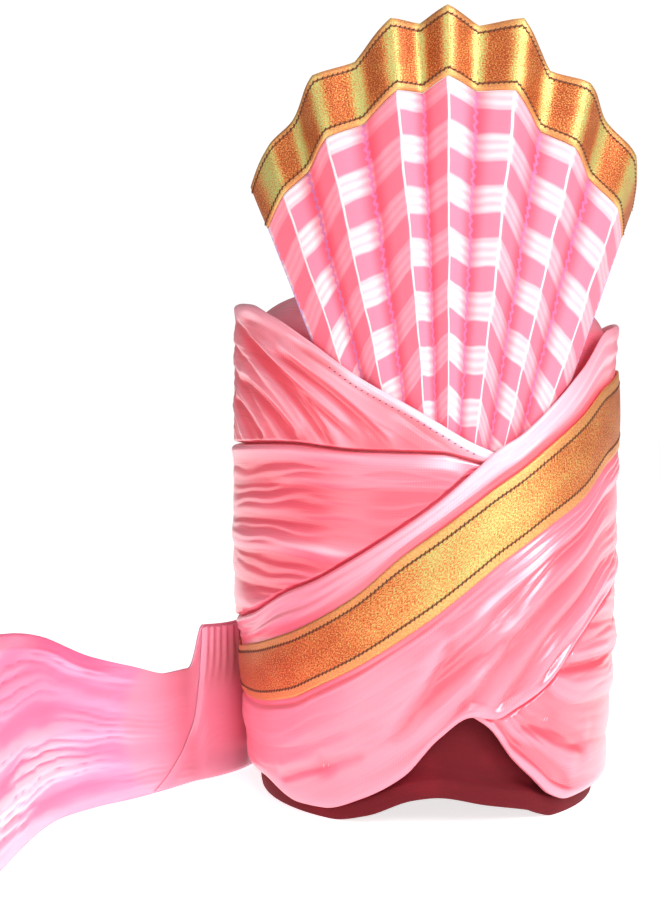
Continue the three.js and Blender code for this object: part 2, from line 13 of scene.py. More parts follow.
import bpy
import numpy as np
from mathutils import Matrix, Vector


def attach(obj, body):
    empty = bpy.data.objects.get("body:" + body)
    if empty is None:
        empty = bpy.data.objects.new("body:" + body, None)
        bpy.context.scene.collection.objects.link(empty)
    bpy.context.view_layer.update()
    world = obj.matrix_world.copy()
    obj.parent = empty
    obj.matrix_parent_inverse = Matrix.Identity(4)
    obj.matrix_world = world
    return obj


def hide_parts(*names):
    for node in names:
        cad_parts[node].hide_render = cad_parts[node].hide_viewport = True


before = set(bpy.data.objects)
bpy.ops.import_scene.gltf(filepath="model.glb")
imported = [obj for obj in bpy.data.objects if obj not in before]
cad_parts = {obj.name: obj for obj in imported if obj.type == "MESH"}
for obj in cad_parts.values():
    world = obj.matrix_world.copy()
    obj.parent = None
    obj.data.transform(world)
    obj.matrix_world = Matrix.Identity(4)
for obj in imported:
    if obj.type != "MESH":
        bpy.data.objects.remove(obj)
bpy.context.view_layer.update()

LOG = logging.getLogger("pagri")
BODY_NAME = "root"
Array = np.ndarray
Colour = tuple[float, float, float, float]
Place = tuple[float, float]
Spot = tuple[float, float, float]
Pair = tuple[Array, Array]
Path = tuple[Array, Array, bool]
Edges = tuple[Array, Array, Array, Array]
Material = bpy.types.Material
Node = bpy.types.Node
Object = bpy.types.Object
Socket = bpy.types.NodeSocket
Tree = bpy.types.NodeTree
Value = Union[float, Sequence[float], Socket]
Inputs = dict[Union[str, int], Value]


@dataclass(frozen=True)
class Table:
    """Rows of sizes with named columns, read along a smooth curve through the rows."""

    columns: tuple[str, ...]
    rows: tuple[tuple[float, ...], ...]

    def column(self, name: str) -> Array:
        """Returns one column as an array."""
        place = self.columns.index(name)
        return np.array([row[place] for row in self.rows], dtype=float)

    def at(self, places: Array, name: str) -> Array:
        """Reads one column between the rows without overshooting them.

        Args:
            places: places along the key column.
            name: the column to read.

        Returns:
            One value for each place.
        """
        keys = self.column(self.columns[0])
        values = self.column(name)
        spans = np.diff(keys)
        slopes = np.diff(values) / spans
        before = np.concatenate([slopes[:1], slopes])
        after = np.concatenate([slopes, slopes[-1:]])
        product = before * after
        total = np.where(product > 0, before + after, 1.0)
        tangents = np.where(product > 0, 2 * product / total, 0.0)
        held = np.clip(places, keys[0], keys[-1])
        row = np.clip(np.searchsorted(keys, held) - 1, 0, len(spans) - 1)
        share = (held - keys[row]) / spans[row]
        rise = share * share * (3 - 2 * share)
        level = values[row] * (1 - rise) + values[row + 1] * rise
        lean = (1 - share) * tangents[row] - share * tangents[row + 1]
        return level + spans[row] * share * (1 - share) * lean


# The wound body without its wraps.
BODY = Table(("z", "half_width", "half_depth"), (
    (0, 0.0905, 0.106), (0.04, 0.0935, 0.1085), (0.09, 0.0965, 0.1105), (0.15, 0.0975, 0.1115),
    (0.2, 0.097, 0.11), (0.24, 0.0965, 0.1065), (0.28, 0.095, 0.102),
))

# The cap's rim stands on the floor except for a low arch at the front.
RIM = Table(("angle", "z"), (
    (-180, 0), (-45, 0), (-36, 0), (-22.5, 0.0045), (-7.5, 0.014), (0, 0.0155),
    (15, 0.011), (30, 0.006), (42, 0), (52, 0), (180, 0),
))

# The crown's lower edge, raised behind the front arch.
CROWN_EDGE = Table(("angle", "z"), (
    (-180, 0.015), (-52.5, 0.015), (-37.5, 0.018), (-22.5, 0.03), (-7.5, 0.05), (0, 0.062),
    (10, 0.072), (22.5, 0.056), (37.5, 0.028), (52.5, 0.016), (67.5, 0.015), (180, 0.015),
))

# Cross wrap: its hem, the gold band's edges, its top edge and how far each edge lifts off the body.
CROSS_WRAP = Table(("angle", "hem", "band_low", "band_high", "top", "hem_lift", "top_lift"), (
    (-180, 0.036, 0.092, 0.13, 0.152, 0.0029, 0.0032),
    (-150, 0.015, 0.066, 0.098, 0.117, 0.0029, 0.0029),
    (-120, 0.011, 0.055, 0.08, 0.096, 0.0012, 0.0029),
    (-90, 0.013, 0.053, 0.076, 0.091, 0.0006, 0.0029),
    (-65, 0.013, 0.054, 0.083, 0.099, 0.0006, 0.0029),
    (-46, 0.006, 0.06, 0.093, 0.114, 0.0006, 0.0029),
    (-36, 0.0065, 0.068, 0.101, 0.121, 0.0006, 0.0029),
    (-23, 0.014, 0.08, 0.115, 0.134, 0.0006, 0.0029),
    (-10, 0.027, 0.095, 0.135, 0.149, 0.0006, 0.0029),
    (0, 0.046, 0.108, 0.148, 0.162, 0.0016, 0.0034),
    (9, 0.0565, 0.121, 0.16, 0.176, 0.0034, 0.0051),
    (16, 0.055, 0.131, 0.169, 0.187, 0.0036, 0.0067),
    (22, 0.0595, 0.138, 0.1755, 0.193, 0.0029, 0.0066),
    (32, 0.069, 0.149, 0.1875, 0.207, 0.0029, 0.0066),
    (45, 0.091, 0.161, 0.2015, 0.226, 0.0029, 0.0066),
    (60, 0.108, 0.178, 0.217, 0.246, 0.0029, 0.0066),
    (90, 0.122, 0.188, 0.226, 0.251, 0.0029, 0.0029),
    (120, 0.115, 0.178, 0.216, 0.241, 0.0029, 0.0029),
    (150, 0.082, 0.142, 0.181, 0.205, 0.0029, 0.0034),
    (165, 0.059, 0.117, 0.156, 0.179, 0.0029, 0.0056),
    (180, 0.036, 0.092, 0.13, 0.152, 0.0029, 0.0032),
))

# Upper wrap: a crescent, widest at the left, its tips under the cross wrap.
UPPER_WRAP = Table(("angle", "low", "high", "high_lift", "crest"), (
    (-195, 0.175, 0.1785, 0.0006, 0.0024), (-187.5, 0.174, 0.188, 0.0006, 0.004),
    (-172.5, 0.176, 0.208, 0.0006, 0.007), (-150, 0.177, 0.235, 0.0006, 0.0078),
    (-120, 0.177, 0.257, 0.0006, 0.0088), (-90, 0.177, 0.262, 0.0006, 0.0094),
    (-67.5, 0.178, 0.26, 0.0035, 0.0092), (-52.5, 0.179, 0.253, 0.0066, 0.0089),
    (-37.5, 0.179, 0.24, 0.0071, 0.0093), (-22.5, 0.177, 0.222, 0.0065, 0.0088),
    (-7.5, 0.176, 0.207, 0.0052, 0.008), (0, 0.176, 0.199, 0.005, 0.0074),
    (7.5, 0.176, 0.191, 0.0048, 0.0068), (15, 0.178, 0.185, 0.0046, 0.006),
))

# Middle wrap: level folds below the upper wrap.
MIDDLE_WRAP = Table(("angle", "high", "crest", "lift"), (
    (-195, 0.1735, 0.004, 0.0029), (-187.5, 0.177, 0.0046, 0.0029), (-180, 0.18, 0.006, 0.0029),
    (-150, 0.186, 0.0078, 0.0029), (-90, 0.1855, 0.0094, 0.0029), (-45, 0.188, 0.0082, 0.0029),
    (-22.5, 0.185, 0.0076, 0.0029), (0, 0.184, 0.007, 0.0029), (7.5, 0.181, 0.0049, 0.0029),
    (15, 0.177, 0.004, 0.0029),
))

# Lower wrap: the right lobe of the front arch, running round the back.
LOWER_WRAP = Table(("angle", "hem", "crest"), (
    (7.5, 0.0585, 0.0023), (15, 0.05, 0.0036), (22.5, 0.034, 0.0064), (30, 0.0225, 0.007),
    (37.5, 0.0125, 0.0072), (45, 0.0085, 0.0072), (60, 0.009, 0.0074), (90, 0.009, 0.0076),
    (150, 0.009, 0.0076), (180, 0.009, 0.007), (195, 0.0095, 0.005), (210, 0.01, 0.0024),
))

# The fan's fold lines from left to right: slant in degrees, which way the fold points,
# and the distances from the pivot to the hidden foot, the border's seam and the outer edge.
FAN_FOLDS = Table(("slant", "fold", "foot", "seam", "reach"), (
    (-19.6, 0.3, 0.181, 0.246, 0.27), (-16.4, 1, 0.164, 0.258, 0.284), (-14.2, -1, 0.155, 0.267, 0.296),
    (-10.9, 1, 0.148, 0.279, 0.311), (-7.8, -1, 0.14, 0.283, 0.315), (-4.1, 1, 0.134, 0.296, 0.332),
    (-2, -1, 0.131, 0.295, 0.33), (0.3, 1, 0.1285, 0.302, 0.337), (3, -1, 0.126, 0.296, 0.329),
    (6.2, 1, 0.1225, 0.297, 0.333), (9.6, -1, 0.1205, 0.281, 0.312), (12.5, 1, 0.1225, 0.276, 0.309),
    (15.9, -1, 0.128, 0.266, 0.298), (19.1, 1, 0.147, 0.257, 0.286), (21.8, 0.1, 0.166, 0.247, 0.266),
))

# The fan's plan curve at the foot and at the edge.
FAN_PLAN = Table(("z", "centre", "half_width", "half_depth"), (
    (0.185, 0, 0.0972, 0.1106), (0.25, 0, 0.0974, 0.107), (0.405, 0.01, 0.121, 0.088),
))

# The tail from behind the left side to its free end: plan place of its lower edge,
# height of its top edge, lean and depth of its lengthwise folds.
TAIL = Table(("x", "y", "top", "lean", "fold"), (
    (-0.0709, 0.0818, 0.074, 0.005, 0.0001), (-0.0869, 0.0578, 0.084, 0.0055, 0.0001),
    (-0.0962, 0.035, 0.085, 0.0055, 0.0002), (-0.1035, 0.018, 0.085, 0.004, 0.0008),
    (-0.113, 0.004, 0.0855, 0.003, 0.0014), (-0.121, -0.0045, 0.086, 0.003, 0.0018),
    (-0.128, -0.011, 0.063, 0.003, 0.002), (-0.138, -0.026, 0.063, 0.003, 0.0022),
    (-0.154, -0.047, 0.07, 0.004, 0.0026), (-0.174, -0.068, 0.079, 0.005, 0.003),
    (-0.19, -0.095, 0.093, 0.007, 0.0034), (-0.196, -0.13, 0.1, 0.009, 0.0036),
    (-0.199, -0.165, 0.103, 0.01, 0.0036), (-0.201, -0.195, 0.101, 0.01, 0.0034),
))

# Round the turban: how strong the cross wrap's folds are, how strong the painted highlight on its rolled edge
# is, how wide its folds lie and how strong the painted sheen highlight is on their crests.
CROSS_PLEATS = Table(("angle", "pleats", "glow", "spread", "sheen"), (
    (-180, 0.8, 0.1, 1.0, 0), (-90, 0.45, 0.1, 1.0, 0), (-60, 0.2, 0.1, 1.2, 0),
    (-25, 0.2, 0.03, 1.4, 0), (-12, 0.35, 0.2, 1.5, 0), (-5, 0.5, 0.35, 1.5, 0),
    (8, 1.0, 0.6, 1.4, 0), (14, 1.0, 0.6, 1.28, 0.6), (28, 1.0, 0.55, 1.02, 0.6),
    (36, 1.0, 0.5, 0.92, 0), (50, 0.8, 0.2, 0.85, 0), (90, 0.7, 0.1, 1.0, 0),
    (180, 0.8, 0.1, 1.0, 0),
))

# How the upper wrap's folds widen from the left side to the bottom of the V.
UPPER_SPACING = Table(("angle", "spread"), (
    (-195, 0.9), (-110, 0.75), (-85, 0.7), (-70, 0.85), (-55, 1.05), (-38, 1.4), (-10, 1.9),
    (15, 2.1),
))

GAP = 0.0005  # air between neighbouring pieces
SLACK = 0.0012  # a wrap's middle lies this far off the body
ARC_RADIUS = 0.105  # mean radius on which lengths round the turban are measured
FULL_TURN = 2 * math.pi * ARC_RADIUS
HEAD_HALF_WIDTH = 0.084
HEAD_HALF_DEPTH = 0.101
CAP_WALL = 0.002
CAP_WALL_TOP = 0.092
CAP_DOME_RISE = 0.058
CAP_FLAT = (0.17, 2 * math.pi * 0.094)
RIM_BAND = 0.010  # height of the rim's facing
RIM_STEP = 0.003  # height of the step behind it
RIM_TUCK = 0.0007  # how far the facing's edges turn in
RIM_SHARES = (0.0, 0.06, 0.3, 0.6, 0.9, 1.0)
CROWN_WALL_TOP = 0.240
CROWN_TOP_RISE = 0.031
CROWN_TOP_WALL = 0.003
CROWN_FLAT = (0.31, 2 * math.pi * 0.098)
TUCK_HEIGHT = 0.0097  # how far a wrap runs in under its neighbour
TUCK_SHARE = 0.66
TUCK_CLEAR = 0.0004  # a wrap comes up this far past its neighbour's edge
TUCK_OFFSET = 0.0023
TUCK_RISE = 0.0018  # height over which a wrap comes up from its tuck
PLATEAU_SHARE = 0.42
MIDDLE_SHARE = 0.03
EDGE_ROUND = 0.0024
EDGE_ROUND_SHARE = 0.1
HEM_ROUND = 0.0012  # rounding of a thin hem
HEM_WALL = 0.0024  # thickness of a thin hem
HEM_EASE = 0.009  # height over which the cloth comes down to a thin hem
ROUND_STEPS = 7  # points round an edge
ROLL_STEPS = 8  # points round the cross wrap's rolled edge
LEAST_CLOTH = 0.0008  # a crease leaves at least this much cloth
WRAP_OVERLAP = 0.009
CALM_ANGLE = -92.0  # the folds lie flatter where they turn round the left side
CALM_SPAN = 26.0
CALM_SHARE = 0.7
TINT_SHARE = 0.42  # shallow folds take the crease colour from this share of a full fold
WRAP_BULGE = 0.0006  # the roll beside a crease stands out at most this far
CROSS_BULGE = 0.0012
CROSS_CREST = 0.0078
CROSS_ROLL = 0.0022
CROSS_TAKE_UP = 1.12  # flat cloth that the folds take up, as a share of the piece's own size
BAND_TAKE_UP = 1.05
TAIL_TAKE_UP = 1.2
BAND_SEAT = 0.0054
BAND_MARGIN = 0.002
BAND_WALL = 0.0012
BAND_INSET = 0.15  # place of the dark lines, as a share of the trim's width
BORDER_INSET = 0.11
FAN_WALL = 0.0013
FAN_PIVOT_X = 0.003
FAN_PIVOT_Z = 0.065
FAN_PLEAT_DEPTH = 0.0045
FAN_FLAT_REACH = 0.060  # distance from the pivot where the pleats begin
FAN_EDGE_REACH = 0.340  # and where they are deepest
FAN_STANDOFF = 0.0014
FAN_SIDE_LIMIT = 0.98
FAN_FLAT = (0.14, 0.2)
BORDER_FLAT = (0.031, 0.26)
BORDER_STEP = 0.0002  # the border stands this much further out than the cloth
TAIL_WALL = 0.0016
TAIL_CLEAR = 0.0012
TAIL_TACK_START = np.array([-0.1245, -0.15, 0.0535])  # in front of the tack at the tail's root
TAIL_TACK_WAY = np.array([0.0, 1.0, 0.0])
CLEAR_OF_CLOTH = 0.05  # this far off the body no cloth lies
OCTAVES = 4  # waves that make up an irregular value
OCTAVE_STEP = 1.8
OCTAVE_FADE = 0.6
OCTAVE_TOTAL = 1.6


def smooth(values: Array) -> Array:
    """Eases values from 0 to 1 and holds them there."""
    held = np.clip(values, 0.0, 1.0)
    return held * held * (3 - 2 * held)


def ramp(values: Array, start: float, span: float) -> Array:
    """Eases from 0 at the start to 1 a span further on; with a negative span it rises the other way."""
    return smooth((values - start) / span)


def srgb(red: float, green: float, blue: float) -> Colour:
    """Turns a colour as seen on a screen, 0 to 255, into the linear colour that a shader takes."""
    linear = [((part / 255 + 0.055) / 1.055) ** 2.4 for part in (red, green, blue)]
    return (linear[0], linear[1], linear[2], 1.0)


def wander(seed: int, *places: Array) -> Array:
    """Smooth irregular value between about -1 and 1, the same on each run.

    Args:
        seed: picks one of many patterns.
        places: coordinates, each already divided by the size of the irregularities along it.

    Returns:
        One value for each place.
    """
    dice = np.random.default_rng(seed)
    count = len(places)
    total = np.zeros(np.broadcast(*places).shape)
    weight = 1.0
    for octave in range(OCTAVES):
        turns = dice.uniform(0.6, 1.4, count) * dice.choice((-1.0, 1.0), count) * OCTAVE_STEP ** octave
        phase = dice.uniform(0, 2 * math.pi)
        total = total + weight * np.sin(sum(turn * place for turn, place in zip(turns, places)) + phase)
        weight *= OCTAVE_FADE
    return total / OCTAVE_TOTAL


def around(first: float = -180.0, last: float = 180.0, steps: int = 720, ring: bool = True) -> Array:
    """A column of even angles; a ring leaves out the last one, where it meets itself."""
    return np.linspace(first, last, steps, endpoint=not ring)[:, None]


def shares(count: int) -> Array:
    """A row of even shares from 0 to 1."""
    return np.linspace(0, 1, count)[None]


def arc(angle: Array) -> Array:
    """Metres round the turban at angles."""
    return np.radians(angle) * ARC_RADIUS


def outward(angle: Array) -> Array:
    """Directions away from the body, level, at angles."""
    turn = np.radians(angle)
    return np.stack([np.sin(turn), -np.cos(turn), np.zeros_like(turn)], axis=-1)


def ellipse(angle: Array, half_width: Array, half_depth: Array, height: Array) -> Array:
    """Points on level ellipses round the head.

    Args:
        angle: degrees round the turban.
        half_width: half the ellipse's width.
        half_depth: half its depth.
        height: metres above the floor.

    Returns:
        Points in an array with one more dimension.
    """
    turn = np.radians(angle)
    parts = np.broadcast_arrays(half_width * np.sin(turn), -half_depth * np.cos(turn), height)
    return np.stack(parts, axis=-1)


def body_point(angle: Array, height: Array, offset: Array) -> Array:
    """Points of the wound body's surface at angles and heights, pushed outwards by an offset."""
    half_width = BODY.at(height, "half_width") + offset
    return ellipse(angle, half_width, BODY.at(height, "half_depth") + offset, height)


def thinned(offset: Array, lift: Array, up: Array) -> Array:
    """Brings a wrap's outside down to a thin hem.

    Args:
        offset: offsets of the outside.
        lift: offset of the inside along the hem.
        up: distance from the hem.

    Returns:
        The new offsets.
    """
    base = lift + HEM_WALL
    share = np.sqrt(1 - (1 - np.clip(up / HEM_EASE, 0, 1)) ** 2)
    return base + (offset - base) * share


def turned(angle: Array) -> Array:
    """Brings angles back between -180 and 180 degrees."""
    return (np.asarray(angle) + 180) % 360 - 180


def run_lengths(points: Array, axis: int = 1) -> Array:
    """Running length along the columns of a lattice, or along its rows, metres."""
    steps = np.cumsum(np.linalg.norm(np.diff(points, axis=axis), axis=-1), axis=axis)
    return np.insert(steps, 0, 0.0, axis=axis)


def cloth_places(angle: Array, points: Array) -> Array:
    """Metres along and across the flat cloth for a lattice wound round the body."""
    along = np.broadcast_to(arc(angle), points.shape[:2])
    return np.stack([along, run_lengths(points)], axis=-1)


@dataclass(frozen=True)
class Pleats:
    """Irregular folds that run along a wrap."""

    pitch: float = 0.016
    depth: float = 0.0034  # depth of a full fold
    ridge: float = 0.66  # where the crest lies between two creases, as a share
    drift: float = 0.3  # how far the folds stray from even spacing, in folds
    fine_pitch: float = 0.0056
    fine_depth: float = 0.0005
    flat: float = 0.4  # how flat the faces are between crease and crest, from 0 to 1
    seed: int = 1

    def crests(self, phase: Array) -> Array:
        """Profile of the folds.

        Args:
            phase: places across the folds, counted in folds.

        Returns:
            0 in the creases, a slow rise to 1 on the crest and a steep fall.
        """
        place = phase - np.floor(phase)
        climb = np.clip(place / self.ridge, 0, 1)
        rising = (1 - self.flat) * np.sin(0.5 * math.pi * climb) + self.flat * climb
        falling = np.cos(0.5 * math.pi * np.clip((place - self.ridge) / (1 - self.ridge), 0, 1)) ** 0.6
        return np.where(place < self.ridge, rising, falling)

    def relief(self, along: Array, down: Array, spread: Union[float, Array] = 1.0) -> Array:
        """Height of the folds below the crest level, as shares of a full fold.

        Args:
            along: metres along the folds.
            down: metres across them, from the free edge.
            spread: widens the spacing of the folds.

        Returns:
            Values from -1 in a full crease to 0 on a crest.
        """
        pitch = self.pitch * spread
        stray = 0.7 * wander(self.seed, along / 0.12)
        stray = stray + 0.4 * wander(self.seed + 1, along / 0.06, down / 0.03)
        phase = down / pitch + self.drift * stray
        fold = np.floor(phase)
        vigour = 0.62 + 0.3 * np.sin(2.4 * fold + self.seed)
        vigour = vigour + 0.34 * wander(self.seed + 2, along / 0.06, fold)
        small = self.crests(2.7 * phase + 0.6 * wander(self.seed + 5, along / 0.05, down / 0.03))
        patch = np.clip(0.45 + 0.6 * wander(self.seed + 6, along / 0.05, down / 0.025), 0, 1)
        height = np.clip(vigour, 0.12, 1.0) * self.crests(phase) - 0.3 * patch * (1 - small)
        return np.clip(height, 0, 1) - 1.0

    def wrinkles(self, along: Array, down: Array) -> Array:
        """Small wrinkles in the same direction.

        Args:
            along: metres along the folds.
            down: metres across them.

        Returns:
            Heights in metres, 0 or less.
        """
        stray = wander(self.seed + 3, along / 0.035, down / 0.008)
        ripple = self.crests(down / self.fine_pitch + 0.5 * stray)
        fade = 0.4 + 0.7 * wander(self.seed + 4, along / 0.03, down / 0.012)
        return self.fine_depth * (ripple - 1) * np.clip(fade, 0, 1)


@dataclass(frozen=True)
class Crease:
    """One strong fold of its own, drawn as a stroke on the body."""

    start: Place  # angle in degrees and height in metres where it begins
    end: Place  # angle and height where it ends
    bow: float = 0.0  # how far its middle bends upwards
    width: float = 0.003  # half width of the crease
    depth: float = 0.002  # depth of the crease and height of the roll above it

    def relief(self, angle: Array, height: Array) -> Array:
        """Height of the crease and of its roll.

        Args:
            angle: degrees round the turban.
            height: metres above the floor.

        Returns:
            Heights in metres.
        """
        reach = math.radians(1) * ARC_RADIUS
        ahead = np.array([(self.end[0] - self.start[0]) * reach, self.end[1] - self.start[1]])
        length = float(np.hypot(*ahead))
        ahead = ahead / length
        side = (angle - self.start[0]) * reach
        up = height - self.start[1]
        share = (side * ahead[0] + up * ahead[1]) / length
        over = up * ahead[0] - side * ahead[1]
        over = over * math.copysign(1.0, ahead[0]) - self.bow * 4 * share * (1 - share)
        ends = smooth(share / 0.22 + 0.3) * smooth((1 - share) / 0.22 + 0.3)
        dip = np.exp(-(over / self.width) ** 2)
        roll = np.exp(-((over - 2.2 * self.width) / (1.9 * self.width)) ** 2)
        return self.depth * ends * (0.5 * roll - dip)


@dataclass(frozen=True)
class Dimple:
    """A place where a tack stitch pulls the cloth in."""

    angle: float
    height: float
    width: float = 0.006  # radius of the dent
    depth: float = 0.0011

    def approach(self) -> Pair:
        """A place in front of the dent and the direction from there to the body."""
        angle = np.array(self.angle)
        return body_point(angle, np.array(self.height), np.array(CLEAR_OF_CLOTH)), -outward(angle)

    def relief(self, angle: Array, height: Array) -> Array:
        """Height of the dent at angles and heights, in metres.

        Args:
            angle: degrees round the turban.
            height: metres above the floor.

        Returns:
            Heights in metres.
        """
        side = (angle - self.angle) * math.radians(1) * ARC_RADIUS
        distance = np.hypot(side, height - self.height)
        return -self.depth * np.exp(-(distance / self.width) ** 1.5)


@dataclass
class Lattice:
    """Points in rows and columns, with their places on the flat cloth and their shading values."""

    points: Array  # rows by columns by 3
    cloth: Array  # metres along and across the flat cloth, rows by columns by 2
    marks: dict[str, Array] = field(default_factory=dict)  # named shading values, rows by columns
    pole: float = 0.0  # height of the point over the centre that closes the last column, where there is one


@dataclass
class Strip:
    """One stretch of the loop round a wound cloth's section."""

    heights: Array  # metres above the floor, sections by steps
    offsets: Array  # metres off the body, of the same size
    marks: dict[str, Union[float, Array]]  # shading values by name, of the same size or spread over it


def signed_volume(points: Array, faces: Iterable[Sequence[int]]) -> float:
    """Six times the volume that the faces enclose, negative where they face inwards.

    Args:
        points: all corners.
        faces: numbers of each face's corners.

    Returns:
        The signed volume, times six.
    """
    corners = np.array([(face[0], b, c) for face in faces for b, c in zip(face[1:-1], face[2:])])
    first, second, third = (points[corners[:, k]] for k in range(3))
    return float(np.sum(first * np.cross(second, third)))


def linked(name: str, mesh: bpy.types.Mesh) -> Object:
    """Makes an object of a mesh and links it to the scene.

    Args:
        name: the object's name.
        mesh: its mesh.

    Returns:
        The new object.
    """
    made = bpy.data.objects.new(name, mesh)
    bpy.context.scene.collection.objects.link(made)
    return made


class ClothMesh:
    """Collects points, faces, texture places and shading values of one closed cloth piece."""

    def __init__(self) -> None:
        """Starts with nothing."""
        self.points: list[Array] = []
        self.faces: list[tuple[int, ...]] = []
        self.cloth: list[tuple[Place, ...]] = []
        self.marks: dict[str, list[Array]] = {}
        self.count = 0

    def add_points(self, lattice: Lattice) -> int:
        """Adds a lattice's points and shading values.

        Args:
            lattice: the points to add.

        Returns:
            Number of the first new point.
        """
        first = self.count
        size = lattice.points.shape[:2]
        for name in dict.fromkeys([*self.marks, *lattice.marks]):
            kept = self.marks.setdefault(name, [np.zeros(first)] if first else [])
            kept.append(np.broadcast_to(lattice.marks.get(name, 0.0), size).reshape(-1))
        self.points.append(lattice.points.reshape(-1, 3))
        self.count += size[0] * size[1]
        return first

    def add_face(self, corners: Sequence[int], places: Iterable[Sequence[float]]) -> None:
        """Adds one face with its texture places."""
        self.faces.append(tuple(corners))
        self.cloth.append(tuple(tuple(place) for place in places))

    def add_skin(self, lattice: Lattice, first: int, ring: bool, loop: bool, flip: bool = False) -> None:
        """Adds quads between a lattice's neighbouring points.

        Args:
            lattice: the lattice whose points were added.
            first: number of its first point.
            ring: whether the last row meets the first one.
            loop: whether the last column meets the first one.
            flip: whether the quads face the other way.
        """
        rows, columns = lattice.points.shape[:2]
        cloth = lattice.cloth
        if ring:
            cloth = np.concatenate([cloth, cloth[:1] + np.array([FULL_TURN, 0.0])])
        if loop:
            close = np.linalg.norm(lattice.points[:, 0] - lattice.points[:, -1], axis=-1)
            if ring:
                close = np.append(close, close[0])
            last = cloth[:, -1:] + np.stack([np.zeros_like(close), close], axis=-1)[:, None]
            cloth = np.concatenate([cloth, last], axis=1)
        for i in range(rows if ring else rows - 1):
            for k in range(columns if loop else columns - 1):
                steps = ((i, k), (i + 1, k), (i + 1, k + 1), (i, k + 1))
                if flip:
                    steps = steps[::-1]
                corners = [first + (a % rows) * columns + b % columns for a, b in steps]
                self.add_face(corners, [cloth[step] for step in steps])

    def add_wall(self, front: Lattice, back: Lattice) -> None:
        """Adds a closed wall between two lattices of the same size.

        Args:
            front: the side that shows.
            back: the other side.
        """
        first = self.add_points(front)
        second = self.add_points(back)
        self.add_skin(front, first, ring=False, loop=False)
        self.add_skin(back, second, ring=False, loop=False, flip=True)
        rows, columns = front.points.shape[:2]
        border = [(i, 0) for i in range(rows)]
        border += [(rows - 1, k) for k in range(1, columns)]
        border += [(i, columns - 1) for i in range(rows - 2, -1, -1)]
        border += [(0, k) for k in range(columns - 2, 0, -1)]
        for here, ahead in zip(border, border[1:] + border[:1]):
            steps = (ahead, here, here, ahead)
            starts = (first, first, second, second)
            corners = [start + i * columns + k for start, (i, k) in zip(starts, steps)]
            self.add_face(corners, [front.cloth[step] for step in steps])

    def add_cap(self, outer: Lattice, inner: Lattice) -> None:
        """Adds an open-bottomed cap between two lattices, each closed by its pole.

        Args:
            outer: rows round the cap, columns from the rim up.
            inner: the inside, with the same number of rows.
        """
        rims = []
        rows = len(outer.points)
        for lattice, flip in ((outer, False), (inner, True)):
            first = self.add_points(lattice)
            self.add_skin(lattice, first, ring=True, loop=False, flip=flip)
            columns = lattice.points.shape[1]
            marks = {name: values[:1, -1:] for name, values in lattice.marks.items()}
            pole = np.array([[[0.0, 0.0, lattice.pole]]])
            top = self.add_points(Lattice(pole, lattice.cloth[:1, -1:], marks))
            rim = [first + (i % rows) * columns for i in range(rows + 1)]
            for i in range(rows):
                corners = [rim[i] + columns - 1, rim[i + 1] + columns - 1, top]
                self.add_face(corners[::-1] if flip else corners, [lattice.cloth[i, -1]] * 3)
            rims.append(rim)
        outside, inside = rims
        for i in range(rows):
            corners = [outside[i + 1], outside[i], inside[i], inside[i + 1]]
            self.add_face(corners, [outer.cloth[i, 0]] * 4)

    def finish(self, name: str) -> Object:
        """Makes the piece, facing outwards.

        Args:
            name: the piece's name.

        Returns:
            The new object, linked to the scene.
        """
        points = np.concatenate(self.points)
        if signed_volume(points, self.faces) < 0:
            self.faces = [face[::-1] for face in self.faces]
            self.cloth = [places[::-1] for places in self.cloth]
        mesh = bpy.data.meshes.new(name)
        mesh.from_pydata(points.tolist(), [], self.faces)
        flat = np.array([place for places in self.cloth for place in places]).reshape(-1)
        mesh.uv_layers.new(name="cloth").data.foreach_set("uv", flat)
        for mark, values in self.marks.items():
            layer = mesh.attributes.new(mark, "FLOAT", "POINT")
            layer.data.foreach_set("value", np.concatenate(values))
        mesh.shade_smooth()
        mesh.update()
        return linked(name, mesh)


COLOUR_A = 6  # places of the colour sockets on a mix node
COLOUR_B = 7
COLOUR_RESULT = 2
RANDOM_LOW = 2  # places of the number sockets on a random value node
RANDOM_HIGH = 3
RANDOM_RESULT = 1
FLOAT = "NodeSocketFloat"
VECTOR = "NodeSocketVector"
COLOUR = "NodeSocketColor"
GEOMETRY = "NodeSocketGeometry"


